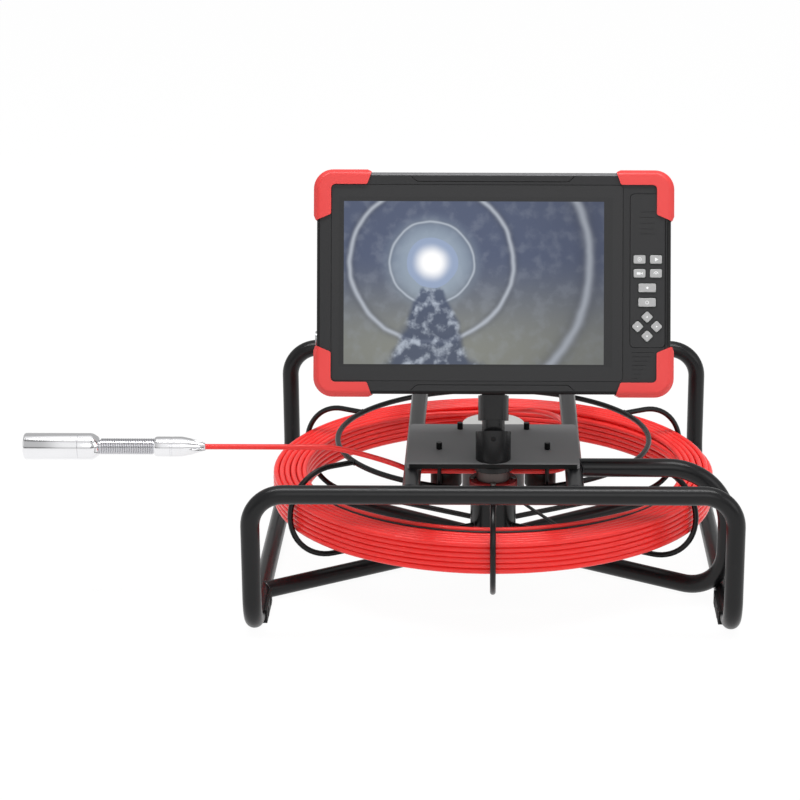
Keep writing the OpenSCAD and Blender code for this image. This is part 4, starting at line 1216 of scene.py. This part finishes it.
bumper_rubber = moulded("red_bumper", "e2403e", 0.4, grain=1600, depth=0.03 * MM, uneven=0.04,
                        Specular_IOR_Level=0.45)
bumper_profile = [(bumper_chamfer + 0.6, 0), (2.6, 1.4), (0, bumper_chamfer + 0.4),
                  (0, bumper_depth - bumper_chamfer), (bumper_chamfer, bumper_depth)]
bumper_block = loft([case_ring(inset, depth, bumper_w, bumper_h, bumper_r)
                     for inset, depth in bumper_profile])
corner_tool = on_monitor(-1, bumper_depth + 1, corner_outline())
corner_tool.transform(upright)
corner_mesh = cut_with(bumper_block, corner_tool, "INTERSECT")
case_block = loft([case_ring(0, case_front), case_ring(0, case_back)])
corner_mesh = cut_with(corner_mesh, case_block, "DIFFERENCE")
corners = bmesh.new()
for sx in (1, -1):
    for sz in (1, -1):
        copy = corner_mesh.copy()
        copy.transform(Matrix.Diagonal((sx, 1, sz, 1)))
        corners.from_mesh(copy)
bmesh.ops.remove_doubles(corners, verts=corners.verts, dist=merge_d)
bmesh.ops.recalc_face_normals(corners, faces=corners.faces)
merge_faces(corners)
finished("rubber_corners", kept(corners, "corners"), bumper_rubber, "monitor",
         ["corner_bumpers"], on_face, 0.6, 3)


# ---- Bracket, tilt pin and socket ----
# A black steel bracket on the case's back. The bright steel pin goes through its two ears and the collar's
# tongue, so that the monitor tilts on it. The plated charging socket sits in the case's left side.

eased("monitor_bracket", 0.5, strap_black)
eased("tilt_pin", 0.4, steel)
eased("side_socket", 0.3, zinc)


# ---- Camera head ----
# Stainless steel throughout: a four-jaw collet nose on the cable, a turned connector, a close-wound
# spring, and the camera body. Its front window is set back in the rim and carries a ring of eight lights.

def turned(profile, sides=72, slits=None):
    """A shape turned about Z from points of radius and height, in millimetres."""
    rings = []
    for r, z in profile:
        ring = []
        for k in range(sides):
            x, y = polar(r, math.tau * k / sides)
            share = shrink(slits, k, sides, z)
            ring.append((x * share, y * share, z))
        rings.append(ring)
    return loft(rings)


def shrink(slits, k, sides, z):
    """How far the surface is drawn in by four slits that run out between two heights."""
    if slits is None:
        return 1.0
    off = abs((k / sides * 4 + 0.5) % 1 - 0.5) / 4 * 360
    share = max(0.0, min(1.0, (slits["end"] - z) / (slits["end"] - slits["start"])))
    return 1 - slits["deep"] * share * max(0.0, 1 - off / slits["width"])


def on_head(x):
    return Matrix.Translation((x * MM, feed_y * MM, head_z * MM)) @ Matrix.Rotation(-math.pi / 2, 4, "Y")


def head_piece(name, profile, x, node, body="head", sides=72, slits=None):
    mesh = turned(profile, sides, slits)
    return finished(name, mesh, head_steel, body, [node], on_head(x))


def turned_steel(name, colour, roughness):
    """Polished steel with fine lathe lines round its axis, which lies along X."""
    made = Finish(name, Metallic=1.0)
    place = made.node("Mapping", {"Vector": made.place(), "Scale": (2600, 12, 12)})
    lines = made.noise(1.0, 3, place)
    cloud = made.noise(35, 2)
    made.set("Base Color", made.mix(cloud, tone(colour, 0.94), tone(colour, 1.04)))
    made.set("Roughness", lines * 0.1 + cloud * 0.06 + (roughness - 0.08))
    made.bump(lines, 0.001 * MM)
    return made


head_steel = turned_steel("polished_head", "f0f0f2", 0.13)
spring_steel = turned_steel("spring_wire", "d2d2d6", 0.2)
nose_l = 21.0
connector_l = 23.0
spring_l = 47.3
collar_l = 18.0
head_l = 64.8
head_r = 11.5
connector_r = 8.7
spring_r = 7.0
connector_x = nose_x - nose_l
spring_x = connector_x - connector_l
collar_x = spring_x - spring_l
head_x = collar_x - head_l

nose_profile = [(2.5, 0.02), (3.1, 0.1), (3.4, 0.6), (4.1, 2.4), (4.9, 4.9), (5.6, 7.4), (6.3, 9.9),
                (7.0, 12.5), (7.7, 15.4), (8.25, 18.0), (8.6, 20.0), (connector_r, nose_l - 0.02)]
jaw_slits = {"start": 0, "end": 15, "width": 9, "deep": 0.3}
head_piece("collet_jaws", nose_profile, nose_x, "collet_nose", "base", 96, jaw_slits)

groove_r = connector_r - 0.35
connector_profile = [(connector_r - 0.6, 0), (connector_r, 0.01), (connector_r, 6.9), (groove_r, 7.1),
                     (groove_r, 7.5), (connector_r, 7.7), (connector_r, 8.4), (groove_r, 8.6),
                     (groove_r, 9.0), (connector_r, 9.2), (connector_r, connector_l - 2.4),
                     (connector_r - 0.3, connector_l - 1.2), (connector_r - 1, connector_l - 0.3),
                     (connector_r - 2, connector_l)]
head_piece("turned_connector", connector_profile, connector_x, "cable_connector", "base")

spring_wire_r = 0.76
spring_turns = 30
turn_steps = 28
helix_steps = spring_turns * turn_steps
helix_l = spring_l - 2 * spring_wire_r
helix = []
for k in range(helix_steps + 1):
    x = spring_x - spring_wire_r - k / helix_steps * helix_l
    helix.append((x, *polar(spring_r - spring_wire_r, math.tau * k / turn_steps, (feed_y, head_z))))
core_r = 5.6
core_steps = 40
core_points = [(spring_x + 0.5 - (spring_l + 1) * k / core_steps, feed_y, head_z)
               for k in range(core_steps + 1)]
head_coil = tubes("head_coil", [helix], spring_wire_r, spring_steel, None,
                  ["head_spring"], sides=10)
spring_core = tubes("spring_core", [core_points], core_r, spring_steel, None, sides=24)
for piece in (head_coil, spring_core):
    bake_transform(piece)

collar_profile = [(spring_r - 0.5, 0), (spring_r + 0.2, 0.2), (spring_r + 1.5, 1.3), (head_r - 1.1, 4.2),
                  (head_r - 0.3, 6.0), (head_r, 7.6), (head_r, collar_l - 0.25),
                  (head_r - 0.25, collar_l - 0.1), (head_r - 0.4, collar_l)]
head_piece("head_rear_collar", collar_profile, collar_x, "head_collar")
body_l = head_l - collar_l
body_profile = [(head_r - 0.4, 0), (head_r - 0.2, 0.1), (head_r, 0.3), (head_r, body_l - 1.6),
                (head_r - 0.25, body_l - 0.9), (head_r - 0.7, body_l - 0.25), (head_r - 1.2, body_l),
                (head_r - 3.0, body_l), (head_r - 3.25, body_l - 0.3), (head_r - 3.25, body_l - 1.7)]
head_piece("head_barrel", body_profile, collar_x - collar_l, "head_body")

lens_glass = Finish("lens_glass", Specular_IOR_Level=0.6, Coat_Weight=0.8, Coat_Roughness=0.03)
lens_y, lens_z = lens_glass.parts(place_from(lens_glass, (0, feed_y, head_z)))[1:]
lens_r = (lens_y * lens_y + lens_z * lens_z).math("SQRT")
lens_ring = within(lens_glass, lens_r, 3.3, 0.35, 0.1)
lens_colour = lens_glass.mix(lens_glass.ease(lens_r, 1.2, 3.2), tone("0a1430"), tone("101114"))
lens_glass.set("Base Color", lens_glass.mix(lens_ring, lens_colour, tone("8c8c90")))
lens_glass.set("Roughness", lens_glass.noise(400, 2) * 0.05 + 0.08)
window_t = 4.6
window_front = head_x + 1.6
window_profile = [(7.9, 0), (7.9, window_t - 0.4), (7.6, window_t), (0.05, window_t)]
finished("front_window", turned(window_profile), lens_glass, "head", ["head_window"],
         on_head(window_front + window_t))

led_count = 8
led_ring_r = 5.4
led_yellow = moulded("led_face", "e8e4b0", 0.3, grain=900, depth=0.02 * MM)
led_profile = [(0.85, 0), (0.85, 0.12), (0.6, 0.3), (0.05, 0.35)]
led_mesh = turned(led_profile, 16)
led_mesh.transform(Matrix.Translation((led_ring_r * MM, 0, 0)))
led_mesh = grow("leds", copies, led_mesh, led_yellow, Count=led_count, Start=0.0)
finished("light_ring", led_mesh, led_yellow, "head", move=on_head(window_front))
dress("camera_module", dark_steel)


def run_length(points):
    return sum((b - a).length for a, b in zip(points, points[1:]))


run_length(cable_path) * MM
[p * MM for p in cable_path]


# ---- Studio ----
# A white floor under a white sky that lights it softly all round, with darker bands for gloss to mirror.
# A long soft box hangs above, and two weaker ones stand at the right and in front.

floor_low = cad_low.z
floor = bpy.data.meshes.new("studio_floor")
floor.from_pydata([(-6, -6, floor_low), (6, -6, floor_low), (6, 8, floor_low), (-6, 8, floor_low)], [],
                  [(0, 1, 2, 3)])
floor_finish = Finish("studio_floor", Roughness=0.9)
floor_finish.set("Base Color", floor_finish.mix(floor_finish.noise(3, 2), tone("f2f2f2"), tone("f8f8f8")))
glow = floor_finish.node("Emission", {"Color": (1, 1, 1, 1), "Strength": 1.03})


def ray(made, kind):
    return made.node("LightPath", out=f"Is {kind} Ray")


def looked_at(made):
    """1 for what the camera sees, straight or through glass."""
    return ray(made, "Camera") + ray(made, "Transmission")


floor_seen = looked_at(floor_finish) + ray(floor_finish, "Glossy") * 0.85
share = floor_seen.math("MINIMUM", 1.0) * 0.93
lit = Wire(floor_finish, floor_finish.shader.outputs[0])
both = floor_finish.node("MixShader", {0: share, 1: lit, 2: glow})
floor_finish.feed(floor_finish.nodes["Material Output"].inputs["Surface"], both)
floor_piece = put("studio_floor", floor)
floor.materials.append(floor_finish.material)

world = bpy.data.worlds.new("studio")
bpy.context.scene.world = world
world.use_nodes = True


class Sky(Finish):
    """The world's own nodes, written as a finish is."""

    def __init__(self, made):
        self.material = made
        self.nodes = made.node_tree.nodes


sky = Sky(world)
sideways, away, rise = sky.parts(sky.node("TexCoord", out="Generated"))
mirrored = ray(sky, "Glossy")
seen = looked_at(sky)
behind = sky.ease(away, -0.05, 0.15)
dim = sky.ease(rise, 0.8, 0.9, 1.0, 0.0) * behind * 0.5
seam = within(sky, rise, 0.82, 0.02, 0.014) * (1 - behind) * 0.7
horizon = within(sky, rise, 0.05, 0.09, 0.05) * (1 - behind) * 0.4
aside = sideways.math("ABSOLUTE")
flank = sky.ease(aside, 0.26, 0.4) * sky.ease(aside, 0.75, 0.9, 1.0, 0.0) * (1 - behind) * 0.45
# Gloss mirrors a brighter sky than the one that lights the object, so that metal shows light and dark.
ambient = 0.45
level = mirrored * (1 - ambient - dim - seam - horizon - flank) + ambient
level = level + seen.math("MINIMUM", 1.0) * (1 - level)
sky.feed(sky.nodes["Background"].inputs["Strength"], level)
sky.feed(sky.nodes["Background"].inputs["Color"], (1, 1, 1, 1))


def soft_box(name, size, place, aim, watts):
    light = bpy.data.lights.new(name, "AREA")
    light.shape = "RECTANGLE"
    light.size, light.size_y = size
    light.energy = watts
    lamp_object = put(name, light)
    lamp_object.location = place
    lamp_object.rotation_mode = "QUATERNION"
    lamp_object.rotation_quaternion = (Vector(aim) - Vector(place)).to_track_quat("-Z", "Y")


soft_box("top_box", (2.6, 0.4), (0, -0.32, 2.2), (0, 0, 0.1), 38)
soft_box("right_box", (1.2, 1.6), (2.4, -1.2, 1.3), (0, 0, 0.15), 8)
soft_box("front_box", (1.8, 1.0), (0.3, -2.6, 1.5), (0, 0, 0.15), 8)
bpy.context.scene.view_settings.view_transform = "Standard"
